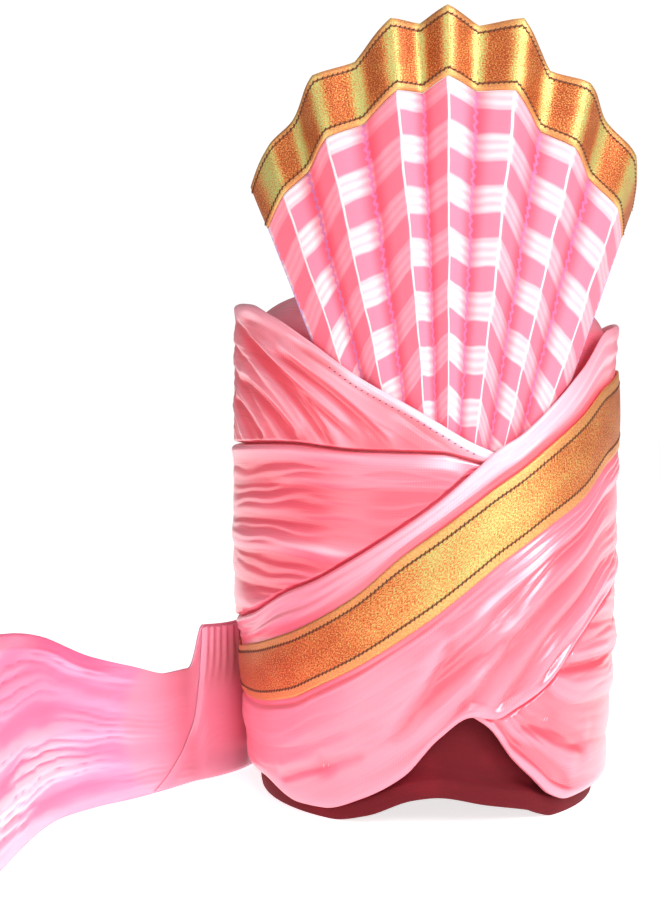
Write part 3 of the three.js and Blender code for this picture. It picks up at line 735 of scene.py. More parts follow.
class Bench:
    """Adds nodes to one tree and wires them."""

    def __init__(self, tree: Tree) -> None:
        """Keeps the tree."""
        self.tree = tree

    def add(self, kind: str, inputs: Optional[Inputs] = None, **settings: object) -> Node:
        """Adds a node.

        Args:
            kind: the node's type.
            inputs: what feeds its inputs, by their names or places.
            settings: its plain properties.

        Returns:
            The new node.
        """
        node = self.tree.nodes.new(kind)
        for name, value in settings.items():
            setattr(node, name, value)
        for place, value in (inputs or {}).items():
            self.feed(node.inputs[place], value)
        return node

    def feed(self, socket: Socket, value: Value) -> None:
        """Wires a socket into another one, or sets a plain value on it.

        Args:
            socket: the socket that is fed.
            value: what feeds it.
        """
        if isinstance(value, Socket):
            self.tree.links.new(value, socket)
        else:
            socket.default_value = value

    def math(self, operation: str, *values: Value) -> Socket:
        """One sum of up to three values."""
        return self.add("ShaderNodeMath", dict(enumerate(values)), operation=operation).outputs[0]

    def times(self, first: Value, second: Value) -> Socket:
        """The product of two values."""
        return self.math("MULTIPLY", first, second)

    def minus(self, first: Value, second: Value) -> Socket:
        """The difference of two values."""
        return self.math("SUBTRACT", first, second)

    def line(self, value: Value, slope: Value, start: Value) -> Socket:
        """A value times a slope, plus a start."""
        return self.math("MULTIPLY_ADD", value, slope, start)

    def apart(self, first: Value, second: Value) -> Socket:
        """The distance between two values."""
        return self.math("ABSOLUTE", self.minus(first, second))

    def ease(self, value: Value, low: float, high: float) -> Socket:
        """Brings a value from between two limits to between 0 and 1, eased and held."""
        limits = {"Value": value, "From Min": low, "From Max": high}
        return self.add("ShaderNodeMapRange", limits, interpolation_type="SMOOTHSTEP").outputs["Result"]

    def fall(self, value: Value, low: float, high: float) -> Socket:
        """Falls from 1 at the lower limit to 0 at the upper one."""
        return self.minus(1.0, self.ease(value, low, high))

    def mix(self, share: Value, first: Value, second: Value, blend: str = "MIX") -> Socket:
        """A mixture of two colours."""
        inputs = {"Factor": share, COLOUR_A: first, COLOUR_B: second}
        return self.add("ShaderNodeMix", inputs, data_type="RGBA", blend_type=blend).outputs[COLOUR_RESULT]

    def shaded(self, colour: Value, level: Value) -> Socket:
        """A colour multiplied by a level of grey."""
        grey = self.add("ShaderNodeCombineColor", {place: level for place in range(3)})
        return self.mix(1.0, colour, grey.outputs[0], "MULTIPLY")

    def mark(self, name: str) -> Socket:
        """A shading value that the piece's points hold."""
        node = self.add("ShaderNodeAttribute", attribute_name=name, attribute_type="GEOMETRY")
        return node.outputs["Fac"]

    def place(self) -> Socket:
        """Places on the piece's flat cloth."""
        return self.add("ShaderNodeUVMap", uv_map="cloth").outputs["UV"]

    def streaks(self, vector: Value, sizes: Place, detail: float = 2.0) -> Socket:
        """Noise drawn out to streaks.

        Args:
            vector: places on the flat cloth.
            sizes: lengths of the streaks along and across it, metres.
            detail: how fine the noise is.

        Returns:
            A value between 0 and 1.
        """
        scales = (1 / sizes[0], 1 / sizes[1], 1.0)
        scaled = self.add("ShaderNodeVectorMath", {0: vector, 1: scales}, operation="MULTIPLY")
        inputs = {"Vector": scaled.outputs[0], "Scale": 1.0, "Detail": detail}
        return self.add("ShaderNodeTexNoise", inputs, noise_dimensions="2D").outputs["Fac"]

    def group(self, tree: Tree, **inputs: Value) -> Node:
        """Places a node group and feeds its inputs, named here in small letters."""
        named = {name.title(): value for name, value in inputs.items()}
        return self.add("ShaderNodeGroup", named, node_tree=tree)


def new_group(name: str, kind: str, inputs: dict[str, str],
              outputs: dict[str, str]) -> tuple[Bench, bpy.types.NodeOutputs, bpy.types.NodeInputs]:
    """Starts a node group.

    Args:
        name: the group's name.
        kind: the type of its tree.
        inputs: socket kinds by name.
        outputs: socket kinds by name.

    Returns:
        The bench, the group's inputs and the sockets that take its outputs.
    """
    tree = bpy.data.node_groups.new(name, kind)
    for way, sockets in (("INPUT", inputs), ("OUTPUT", outputs)):
        for socket, sort in sockets.items():
            tree.interface.new_socket(socket, in_out=way, socket_type=sort)
    bench = Bench(tree)
    return bench, bench.add("NodeGroupInput").outputs, bench.add("NodeGroupOutput").inputs


class ClothGroups:
    """Node groups that several finishes share."""

    def __init__(self) -> None:
        """Builds the groups once."""
        self.weave = self.build_weave()
        self.fold_tint = self.build_fold_tint()
        self.edge_lines = self.build_edge_lines()

    @staticmethod
    def build_weave() -> Tree:
        """Crossing threads with slubs.

        Returns:
            The group: a height for bump and a value for the colour.
        """
        inputs = {"Place": VECTOR, "Pitch": FLOAT, "Slub": FLOAT}
        outputs = {"Height": FLOAT, "Thread": FLOAT}
        bench, given, taken = new_group("woven_threads", "ShaderNodeTree", inputs, outputs)
        parts = bench.add("ShaderNodeSeparateXYZ", {0: given["Place"]}).outputs
        ridges = []
        for part in (parts["X"], parts["Y"]):
            turns = bench.math("DIVIDE", part, given["Pitch"])
            ridges.append(bench.math("ABSOLUTE", bench.math("SINE", bench.times(turns, math.pi))))
        threads = bench.times(bench.math("ADD", *ridges), 0.5)
        fine = bench.streaks(given["Place"], (0.03, 0.0011))
        broad = bench.streaks(given["Place"], (0.06, 0.0045))
        slub = bench.times(bench.math("ADD", fine, broad), 0.5)
        strength = bench.times(given["Slub"], bench.minus(slub, 0.5))
        bench.feed(taken["Height"], bench.line(strength, 2.0, threads))
        bench.feed(taken["Thread"], bench.math("ADD", bench.line(threads, 0.3, 0.31), strength))
        return bench.tree

    @staticmethod
    def build_fold_tint() -> Tree:
        """Cloth colour by the depth of the folds, with painted light.

        Returns:
            The group: a colour with a painted highlight pale on crests and painted shade deep in creases.
        """
        inputs = {name: FLOAT for name in ("Hollow", "Pale", "Thread")}
        inputs.update({name: COLOUR for name in ("Crest", "Cloth", "Crease", "Glow")})
        bench, given, taken = new_group("fold_tint", "ShaderNodeTree", inputs, {"Tint": COLOUR})
        low = bench.mix(bench.ease(given["Hollow"], 0.05, 0.45), given["Crest"], given["Cloth"])
        deep = bench.mix(bench.ease(given["Hollow"], 0.4, 0.95), low, given["Crease"])
        lit = bench.mix(bench.math("MINIMUM", given["Pale"], 1.0), deep, given["Glow"])
        bench.feed(taken["Tint"], bench.shaded(lit, bench.line(given["Thread"], 0.5, 0.75)))
        return bench.tree

    @staticmethod
    def build_edge_lines() -> Tree:
        """Two lines along a trim, one near each edge.

        Returns:
            The group: a mask of the lines and one of the margin outside them.
        """
        inputs = {"Across": FLOAT, "Inset": FLOAT, "Width": FLOAT}
        outputs = {"Line": FLOAT, "Margin": FLOAT}
        bench, given, taken = new_group("edge_lines", "ShaderNodeTree", inputs, outputs)
        inside = bench.minus(0.5, bench.apart(given["Across"], 0.5))
        near = bench.math("DIVIDE", bench.apart(inside, given["Inset"]), given["Width"])
        bench.feed(taken["Line"], bench.fall(near, 0.35, 0.75))
        bench.feed(taken["Margin"], bench.math("LESS_THAN", inside, given["Inset"]))
        return bench.tree


class Finish:
    """A material with a Principled shader whose constant values are set on its own sockets."""

    def __init__(self, name: str) -> None:
        """Starts the material.

        Args:
            name: the material's name.
        """
        self.material = bpy.data.materials.new(name)
        self.material.use_nodes = True
        self.bench = Bench(self.material.node_tree)
        self.shader = self.material.node_tree.nodes["Principled BSDF"]

    def put(self, values: dict[str, Value]) -> None:
        """Wires or sets the shader's sockets by name."""
        for socket, value in values.items():
            self.bench.feed(self.shader.inputs[socket], value)

    def bump(self, height: Value, distance: float, strength: float) -> None:
        """Lays a relief on the surface."""
        relief = {"Height": height, "Distance": distance, "Strength": strength}
        self.put({"Normal": self.bench.add("ShaderNodeBump", relief).outputs["Normal"]})


@dataclass(frozen=True)
class Satin:
    """Satin-like turban cloth, painted paler on the crests of its folds as a highlight and deeper in the
    creases as shade.
    """

    name: str
    crest: Colour = srgb(249, 128, 148)  # colour of the crests, lighter as a painted highlight
    cloth: Colour = srgb(248, 110, 130)
    # crease colour: painted shade in the creases
    crease: Colour = srgb(241, 78, 98)
    glow: Colour = srgb(250, 216, 228)  # colour of painted highlights on rolled edges, crests and the tail's streaks, and of the V's white selvedge
    roughness: float = 0.3
    pitch: float = 0.0013
    shadow_and_edge_colour: Colour = srgb(254, 158, 182)  # colour of the painted shadow that the body casts on the tail's root, also laid along the tail's lower edge

    def material(self, groups: ClothGroups) -> Material:
        """Builds the material.

        Args:
            groups: the shared node groups.

        Returns:
            The new material.
        """
        finish = Finish(self.name)
        bench = finish.bench
        weave = bench.group(groups.weave, place=bench.place(), pitch=self.pitch, slub=0.55).outputs
        tint = bench.group(
            groups.fold_tint, hollow=bench.mark("hollow"), pale=bench.mark("pale"), thread=weave["Thread"],
            crest=self.crest, cloth=self.cloth, crease=self.crease, glow=self.glow)
        # Painted shadow of the body on the tail's root, and the same colour along the tail's lower edge.
        shadow_and_edge_share = bench.times(bench.mark("shadow_and_edge_tint"), 0.85)
        finish.put({
            "Base Color": bench.mix(shadow_and_edge_share, tint.outputs["Tint"], self.shadow_and_edge_colour),
            "Roughness": bench.line(weave["Thread"], 0.16, self.roughness - 0.08),
            "Specular IOR Level": 0.9,
            "Specular Tint": srgb(250, 240, 255),
            "Coat Weight": 0.65,
            "Coat Roughness": 0.31,
            "Coat IOR": 1.85,
            "Sheen Weight": 0.1,
            "Sheen Roughness": 0.35,
            "Sheen Tint": srgb(255, 225, 238),
        })
        finish.bump(weave["Height"], distance=0.0002, strength=0.08)
        return finish.material


@dataclass(frozen=True)
class CheckCloth:
    """Woven check of the fan: white and pink stripes along the pleats, white bars across them."""

    name: str
    white: Colour = srgb(236, 224, 226)
    pink: Colour = srgb(247, 108, 130)
    mauve: Colour = srgb(238, 126, 152)  # colour where a white stripe crosses pink yarn
    blush: Colour = srgb(250, 158, 174)  # colour where a white bar crosses a pink stripe
    lilac: Colour = srgb(205, 170, 225)  # colour of the zigzag thread in the valleys
    shadow: Colour = srgb(255, 160, 178)  # what the valleys' colour is multiplied by
    bar_pitch: float = 0.0258  # spacing of the bars from the border's seam inwards
    bar_height: float = 0.0136
    bar_start: float = 0.002  # how far the first bar is moved outwards
    bar_line: float = 0.0044  # spacing of the fine lines in a bar
    zigzag_length: float = 0.0022  # half the length of one zigzag
    middle_fold: float = 8.0  # number of the fold where the stripes change sides
    right_level: float = 0.28  # least share of white to the right of it
    right_swing: float = 0.5  # how much more the white stripes have there
    pitch: float = 0.0011

    def material(self, groups: ClothGroups) -> Material:
        """Builds the material.

        Args:
            groups: the shared node groups.

        Returns:
            The new material.
        """
        finish = Finish(self.name)
        bench = finish.bench
        weave = bench.group(groups.weave, place=bench.place(), pitch=self.pitch, slub=0.4).outputs
        fold = bench.mark("fold_number")
        inwards = bench.mark("from_seam")
        bars = self.bars(bench, inwards)
        on_pink = bench.mix(bench.times(bars, 0.8), self.pink, self.blush)
        check = bench.mix(self.stripes(bench, fold), on_pink, bench.mix(bars, self.mauve, self.white))
        zigzag = bench.mix(self.zigzag(bench, fold, inwards), check, self.lilac)
        lined = bench.mix(self.ridge_lines(bench, fold), zigzag, self.white)
        shade = bench.mix(bench.ease(bench.mark("hollow"), 0.45, 1.0), lined, self.shadow, "MULTIPLY")
        finish.put({
            "Base Color": bench.shaded(shade, bench.line(weave["Thread"], 0.24, 0.88)),
            "Roughness": bench.line(bars, -0.08, 0.55),
            "Specular IOR Level": 0.5,
            "Sheen Weight": 0.15,
            "Sheen Tint": srgb(255, 230, 240),
        })
        finish.bump(bench.line(bars, 1.4, weave["Height"]), distance=0.00022, strength=0.4)
        return finish.material

    def bars(self, bench: Bench, inwards: Socket) -> Socket:
        """White bars across the pleats, each of a few fine lines.

        Args:
            bench: the material's nodes.
            inwards: distance from the border's seam.

        Returns:
            A mask of the bars.
        """
        start = 0.5 * self.bar_pitch - self.bar_start
        turn = bench.math("DIVIDE", bench.math("ADD", inwards, start), self.bar_pitch)
        half = 0.5 * self.bar_height / self.bar_pitch
        edge = bench.fall(bench.apart(bench.math("FRACT", turn), 0.5), half - 0.03, half + 0.03)
        fine = bench.math("SINE", bench.times(inwards, 2 * math.pi / self.bar_line))
        return bench.times(edge, bench.line(fine, 0.2, 0.8))

    def stripes(self, bench: Bench, fold: Socket) -> Socket:
        """White stripes on the sides of the pleats that face the middle.

        Args:
            bench: the material's nodes.
            fold: places in folds.

        Returns:
            The share of white.
        """
        left = bench.math("FRACT", bench.times(bench.minus(fold, 1.0), 0.5))
        right = bench.math("FRACT", bench.times(fold, 0.5))
        is_right = bench.math("GREATER_THAN", fold, self.middle_fold)
        side = bench.line(is_right, bench.minus(right, left), left)
        white = bench.fall(side, 0.52, 0.58)
        paler = bench.line(white, self.right_swing, self.right_level)
        return bench.line(is_right, bench.minus(paler, white), white)

    @staticmethod
    def ridge_lines(bench: Bench, fold: Socket) -> Socket:
        """A thin white line along each crest."""
        turn = bench.math("FRACT", bench.times(fold, 0.5))
        return bench.fall(bench.apart(turn, 0.5), 0.012, 0.026)

    def zigzag(self, bench: Bench, fold: Socket, inwards: Socket) -> Socket:
        """A zigzag thread along each valley.

        Args:
            bench: the material's nodes.
            fold: places in folds.
            inwards: distance from the border's seam.

        Returns:
            A mask of the thread.
        """
        swing = bench.math("PINGPONG", inwards, self.zigzag_length)
        sway = bench.line(swing, 0.05 / self.zigzag_length, 0.475)
        turn = bench.math("FRACT", bench.line(fold, 0.5, 0.5))
        return bench.times(0.8, bench.fall(bench.apart(turn, sway), 0.02, 0.035))


@dataclass(frozen=True)
class Zari:
    """Gold thread weave with a dark line near each edge."""

    name: str
    inset: float  # place of the lines, as a share of the trim's width
    gold: Colour = srgb(196, 168, 90)
    copper: Colour = srgb(222, 124, 66)
    dark: Colour = srgb(162, 74, 34)
    bright: Colour = srgb(200, 204, 124)  # colour of the brightest threads, reached mostly where the painted highlight is strongest
    line: Colour = srgb(120, 66, 24)
    margin: Colour = srgb(236, 172, 108)
    grain: float = 0.0009  # size of the speckle
    contrast: float = 0.75  # how far the painted shine mark moves the mixture of the threads
    speckle: float = 2.2  # how far single threads differ

    def material(self, groups: ClothGroups) -> Material:
        """Builds the material.

        Args:
            groups: the shared node groups.

        Returns:
            The new material.
        """
        finish = Finish(self.name)
        bench = finish.bench
        place = bench.place()
        weave = bench.group(groups.weave, place=place, pitch=self.grain, slub=0.3)
        across = bench.mark("across")
        lines = bench.group(groups.edge_lines, across=across, inset=self.inset, width=0.026).outputs
        speckle = bench.streaks(place, (self.grain, 0.7 * self.grain), 1.0)
        cloud = bench.streaks(place, (0.02, 0.012), 3.0)
        level = bench.line(bench.minus(speckle, 0.5), self.speckle, 0.5)
        # Painted highlight and shade: the painted shine mark pushes the threads' colour towards gold and
        # bright, or towards copper and dark.
        level = bench.line(bench.minus(bench.mark("painted_shine"), 0.5), self.contrast, level)
        level = bench.line(bench.minus(cloud, 0.5), 0.5, level)
        lit = bench.mix(bench.ease(level, -0.1, 0.4), self.dark, self.copper)
        lit = bench.mix(bench.ease(level, 0.35, 0.75), lit, self.gold)
        lit = bench.mix(bench.ease(level, 0.7, 1.05), lit, self.bright)
        edged = bench.mix(bench.times(lines["Margin"], 0.5), lit, self.margin)
        finish.put({
            "Base Color": bench.mix(lines["Line"], edged, self.line),
            "Metallic": bench.line(lines["Line"], -0.4, 0.6),
            "Roughness": bench.line(speckle, 0.3, 0.26),
            "Specular IOR Level": 0.5,
        })
        finish.bump(bench.line(speckle, 1.6, weave.outputs["Height"]), distance=0.00025, strength=0.35)
        return finish.material


@dataclass(frozen=True)
class Lining:
    """Matt maroon cloth of the cap."""

    name: str
    cloth: Colour = srgb(100, 9, 21)
    worn: Colour = srgb(126, 22, 34)  # colour where the weave shows lighter
    pitch: float = 0.0010

    def material(self, groups: ClothGroups) -> Material:
        """Builds the material.

        Args:
            groups: the shared node groups.

        Returns:
            The new material.
        """
        finish = Finish(self.name)
        bench = finish.bench
        weave = bench.group(groups.weave, place=bench.place(), pitch=self.pitch, slub=0.6).outputs
        cloud = bench.streaks(bench.place(), (0.05, 0.03), 3.0)
        share = bench.times(bench.ease(cloud, 0.45, 0.75), weave["Thread"])
        finish.put({
            "Base Color": bench.mix(share, self.cloth, self.worn),
            "Roughness": bench.line(weave["Thread"], 0.2, 0.68),
            "Specular IOR Level": 0.25,
            "Sheen Weight": 0.08,
            "Sheen Tint": srgb(220, 120, 130),
        })
        finish.bump(weave["Height"], distance=0.0002, strength=0.5)
        return finish.material


@dataclass(frozen=True)
class Yarn:
    """Twisted sewing thread."""

    name: str
    colour: Colour
    shade: Colour  # of the twist's grooves
    twist: float = 900.0  # how closely the grooves follow each other

    def material(self) -> Material:
        """Builds the material.

        Returns:
            The new material.
        """
        finish = Finish(self.name)
        bench = finish.bench
        inputs = {"Vector": bench.add("ShaderNodeTexCoord").outputs["Object"], "Scale": self.twist}
        wave = bench.add("ShaderNodeTexWave", inputs, wave_type="BANDS", bands_direction="DIAGONAL")
        twist = wave.outputs["Fac"]
        finish.put({
            "Base Color": bench.mix(twist, self.shade, self.colour),
            "Roughness": bench.line(twist, 0.2, 0.5),
        })
        return finish.material


# Strong folds of the lower, the upper and the cross wrap.
LOWER_CREASES = (
    Crease((27, 0.0775), (78, 0.079), bow=-0.002, width=0.0017, depth=0.0026),
    Crease((22, 0.052), (52, 0.031), bow=0.004, width=0.004, depth=0.0018),
    Crease((18, 0.0445), (44, 0.0165), bow=0.003, width=0.004, depth=0.0016),
)
UPPER_CREASES = (
    Crease((-68, 0.241), (-29, 0.187), bow=0.007, width=0.0034, depth=0.003),
    Crease((-73, 0.222), (-41, 0.19), bow=0.005, width=0.003, depth=0.003),
    Crease((-50, 0.235), (-13, 0.1865), bow=0.004, width=0.0028, depth=0.0024),
    Crease((-80, 0.252), (-22, 0.19), bow=0.006, width=0.002, depth=0.0018),
    Crease((-44, 0.241), (2, 0.188), bow=0.002, width=0.002, depth=0.0019),
    Crease((-79, 0.211), (-56, 0.19), bow=0.003, width=0.0024, depth=0.0026),
)
CROSS_CREASES = (
    Crease((-13, 0.047), (4, 0.098), bow=-0.004, width=0.004, depth=0.0024),
    Crease((-4, 0.060), (22, 0.098), bow=0.004, width=0.004, depth=0.0018),
    Crease((-52, 0.0165), (-34, 0.0285), bow=0.001, width=0.0024, depth=0.0017),
    Crease((-34, 0.0285), (-21, 0.0375), bow=0.001, width=0.003, depth=0.0012),
)
LOWER_DIMPLE = Dimple(33.0, 0.052)
CROSS_DIMPLE = Dimple(-34.0, 0.029, width=0.005, depth=0.002)


class Edge(Enum):
    """Which edge of a wrap lies free; the other one is tucked under its neighbour."""

    TOP = "top"
    HEM = "hem"


@dataclass
class Piece:
    """One cloth piece of the pagri that stands for a solid of the same name."""

    name: str
    slot: str
    held: str  # how the cloth is held

    def settle(self, made: Object, material: Material, flat: Place, rests_on: Sequence[str]) -> None:
        """Gives the made object its material and its body, hides the solid of the same name and logs its flat
        size.

        Args:
            made: the finished object.
            material: its finish.
            flat: width and length of the flat cloth.
            rests_on: names of the solids that it lies on; not used.
        """
        made.data.materials.append(material)
        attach(made, BODY_NAME)
        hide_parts(self.name)
        LOG.info("%s: %d faces, flat %.3f x %.3f m", made.name, len(made.data.polygons), *flat)


@dataclass
class Cap(Piece):
    """The maroon cap inside the turban, its rim showing under the front arch."""

    steps: int = 160
    rows: int = 24

    def shell(self, angle: Array, wall: float) -> Lattice:
        """One side of the cap.

        Args:
            angle: degrees round the cap, one row each.
            wall: thickness added to the head opening.

        Returns:
            The lattice from the rim up to the pole.
        """
        rim = RIM.at(angle, "z")
        wide = HEAD_HALF_WIDTH + wall
        deep = HEAD_HALF_DEPTH + wall
        foot = ellipse(angle, wide, deep, rim)
        if wall > 0:
            share = np.array(RIM_SHARES)[None]
            tuck = RIM_TUCK * (1 - smooth(np.minimum(share, 1 - share) / 0.12))
            foot = body_point(angle, rim + RIM_BAND * share, -tuck)
        start = rim + RIM_BAND + RIM_STEP
        side = ellipse(angle, wide, deep, start + (CAP_WALL_TOP - start) * shares(self.rows))
        tilt = np.radians(90 * shares(self.rows)[:, 1:-1])
        rise = CAP_DOME_RISE + wall
        dome = ellipse(angle, wide * np.cos(tilt), deep * np.cos(tilt), CAP_WALL_TOP + rise * np.sin(tilt))
        points = np.concatenate([foot, side, dome], axis=1)
        return Lattice(points, cloth_places(angle, points), pole=CAP_WALL_TOP + rise)

    def build(self, lining: Material) -> None:
        """Builds and dresses the cap in its lining cloth.

        Args:
            lining: its finish.
        """
        angle = around(steps=self.steps)
        made = ClothMesh()
        made.add_cap(self.shell(angle, CAP_WALL), self.shell(angle, 0.0))
        self.settle(made.finish("lining_cap_cloth"), lining, CAP_FLAT, ["crown"])


@dataclass
class Crown(Piece):
    """The wound inner body of the turban and its top."""

    steps: int = 240
    rows: int = 60
    dome_rows: int = 44
    pleats: Pleats = Pleats(pitch=0.019, depth=0.0022, seed=31)
    fade: float = 0.012  # height over which the pleats run out below the top
    swirl: int = 17  # number of gathers on the top
    swirl_depth: float = 0.0026

    def outside(self, angle: Array) -> Lattice:
        """The outer side.

        Args:
            angle: degrees round the crown, one row each.

        Returns:
            The lattice from the lower edge up to the pole.
        """
        edge = CROWN_EDGE.at(angle, "z")
        height = edge + (CROWN_WALL_TOP - edge) * shares(self.rows)
        fade = smooth((CROWN_WALL_TOP - height) / self.fade)
        relief = self.pleats.relief(arc(angle), CROWN_WALL_TOP - height)
        wall = body_point(angle, height, self.pleats.depth * relief * fade)
        tilt = np.radians(90 * shares(self.dome_rows)[:, 1:-1])
        plan = np.sqrt(np.cos(tilt))
        wide, deep = (float(BODY.at(np.array(CROWN_WALL_TOP), name)) for name in ("half_width", "half_depth"))
        turn = np.radians(angle)
        spin = turn * self.swirl + 9.0 * plan + 0.9 * wander(33, turn * 2, plan * 3)
        crest = np.abs(np.sin(0.5 * spin)) ** 0.7
        ease = smooth((1 - plan) / 0.12) * smooth(plan / 0.18)
        dip = self.swirl_depth * (crest - 1) * ease * (0.6 + 0.4 * wander(34, turn * 2, plan * 4))
        dome = ellipse(angle, wide * plan, deep * plan, CROWN_WALL_TOP + CROWN_TOP_RISE * np.sin(tilt) + dip)
        points = np.concatenate([wall, dome], axis=1)
        # Painted shade: deeper colour in the pleats' creases and in the gathers on the top.
        hollow = np.concatenate([-relief * fade, np.clip((1 - crest) * ease, 0, 1)], axis=1)
        marks = {"hollow": hollow * 0.5 + 0.04}
        return Lattice(points, cloth_places(angle, points), marks, CROWN_WALL_TOP + CROWN_TOP_RISE)

    @staticmethod
    def inside(angle: Array) -> Lattice:
        """The inner side, a plain wall round the cap.

        Args:
            angle: degrees round the crown, one row each.

        Returns:
            The lattice from the lower edge up to the pole.
        """
        top = CROWN_WALL_TOP - CROWN_TOP_WALL
        edge = CROWN_EDGE.at(angle, "z")
        wide = HEAD_HALF_WIDTH + (CAP_WALL + GAP)
        deep = HEAD_HALF_DEPTH + (CAP_WALL + GAP)
        wall = ellipse(angle, wide, deep, edge + (top - edge) * shares(3))
        tilt = np.radians(np.array([[20, 40, 60, 80]]))
        plan = np.sqrt(np.cos(tilt))
        dome = ellipse(angle, wide * plan, deep * plan, top + CROWN_TOP_RISE * np.sin(tilt))
        points = np.concatenate([wall, dome], axis=1)
        marks = {"hollow": np.full(points.shape[:2], 0.5)}
        return Lattice(points, cloth_places(angle, points), marks, top + CROWN_TOP_RISE - 0.003)

    def build(self, satin: Material) -> None:
        """Builds and dresses the crown in its satin.

        Args:
            satin: its finish.
        """
        angle = around(steps=self.steps)
        made = ClothMesh()
        made.add_cap(self.outside(angle), self.inside(angle))
        self.settle(made.finish("crown_cloth"), satin, CROWN_FLAT, ["lining_cap"])


def lining_line(low: Array, high: Array, low_lift: Array, high_lift: Array) -> Pair:
    """Inner line of a wrap from its top edge down, close to the body between its edges.

    Args:
        low: heights of the lower edge, one row each.
        high: heights of the upper edge.
        low_lift: offsets along the lower edge.
        high_lift: offsets along the upper edge.

    Returns:
        Heights and offsets, six columns each.
    """
    height = high - low
    plateau = np.minimum(TUCK_HEIGHT + SLACK, height * PLATEAU_SHARE)
    middle = low + height / 2
    level = np.maximum(high - 2 * plateau, middle + height * MIDDLE_SHARE)
    lower = np.minimum(low + 2 * plateau, middle - height * MIDDLE_SHARE)
    slack = np.full_like(low, SLACK)
    heights = np.concatenate([high, high - plateau, level, lower, low + plateau, low], axis=1)
    offsets = np.concatenate([high_lift, high_lift, slack, slack, low_lift, low_lift], axis=1)
    return heights, offsets


def level_at(heights: Array, offsets: Array, places: Array) -> Array:
    """Offset of an inner line at other heights, row by row."""
    return np.stack([np.interp(place, h[::-1], o[::-1]) for place, h, o in zip(places, heights, offsets)])


def half_round(start: Array, radius: Array, outside: Array, inside: Array, count: int) -> Pair:
    """Heights and offsets of a free edge rounded from the outside over the top to the inside."""
    turn = np.linspace(0, math.pi, count + 2)[None, 1:-1]
    return start + radius * np.sin(turn), 0.5 * (outside + inside) + 0.5 * (outside - inside) * np.cos(turn)


def wound_cloth(name: str, angle: Array, strips: Sequence[Strip], ring: bool, anchor: int = 0) -> Object:
    """Closed band from section loops round the body.

    Args:
        name: the piece's name.
        angle: degrees round the turban, one row each.
        strips: the stretches of each loop, in order.
        ring: whether the band goes all the way round.
        anchor: column along which the cloth's threads run.

    Returns:
        The new object.
    """
    heights = np.concatenate([strip.heights for strip in strips], axis=1)
    points = body_point(angle, heights, np.concatenate([strip.offsets for strip in strips], axis=1))
    marks = {}
    for mark in strips[0].marks:
        spread = [np.broadcast_to(strip.marks[mark], strip.heights.shape) for strip in strips]
        marks[mark] = np.concatenate(spread, axis=1)
    cloth = cloth_places(angle, points)
    cloth[..., 1] -= cloth[:, anchor:anchor + 1, 1]
    lattice = Lattice(points, cloth, marks)
    made = ClothMesh()
    first = made.add_points(lattice)
    made.add_skin(lattice, first, ring=ring, loop=True)
    if not ring:
        rows, columns = points.shape[:2]
        made.add_face(range(columns), cloth[0])
        made.add_face(range(rows * columns - 1, (rows - 1) * columns - 1, -1), cloth[-1][::-1])
    return made.finish(name)


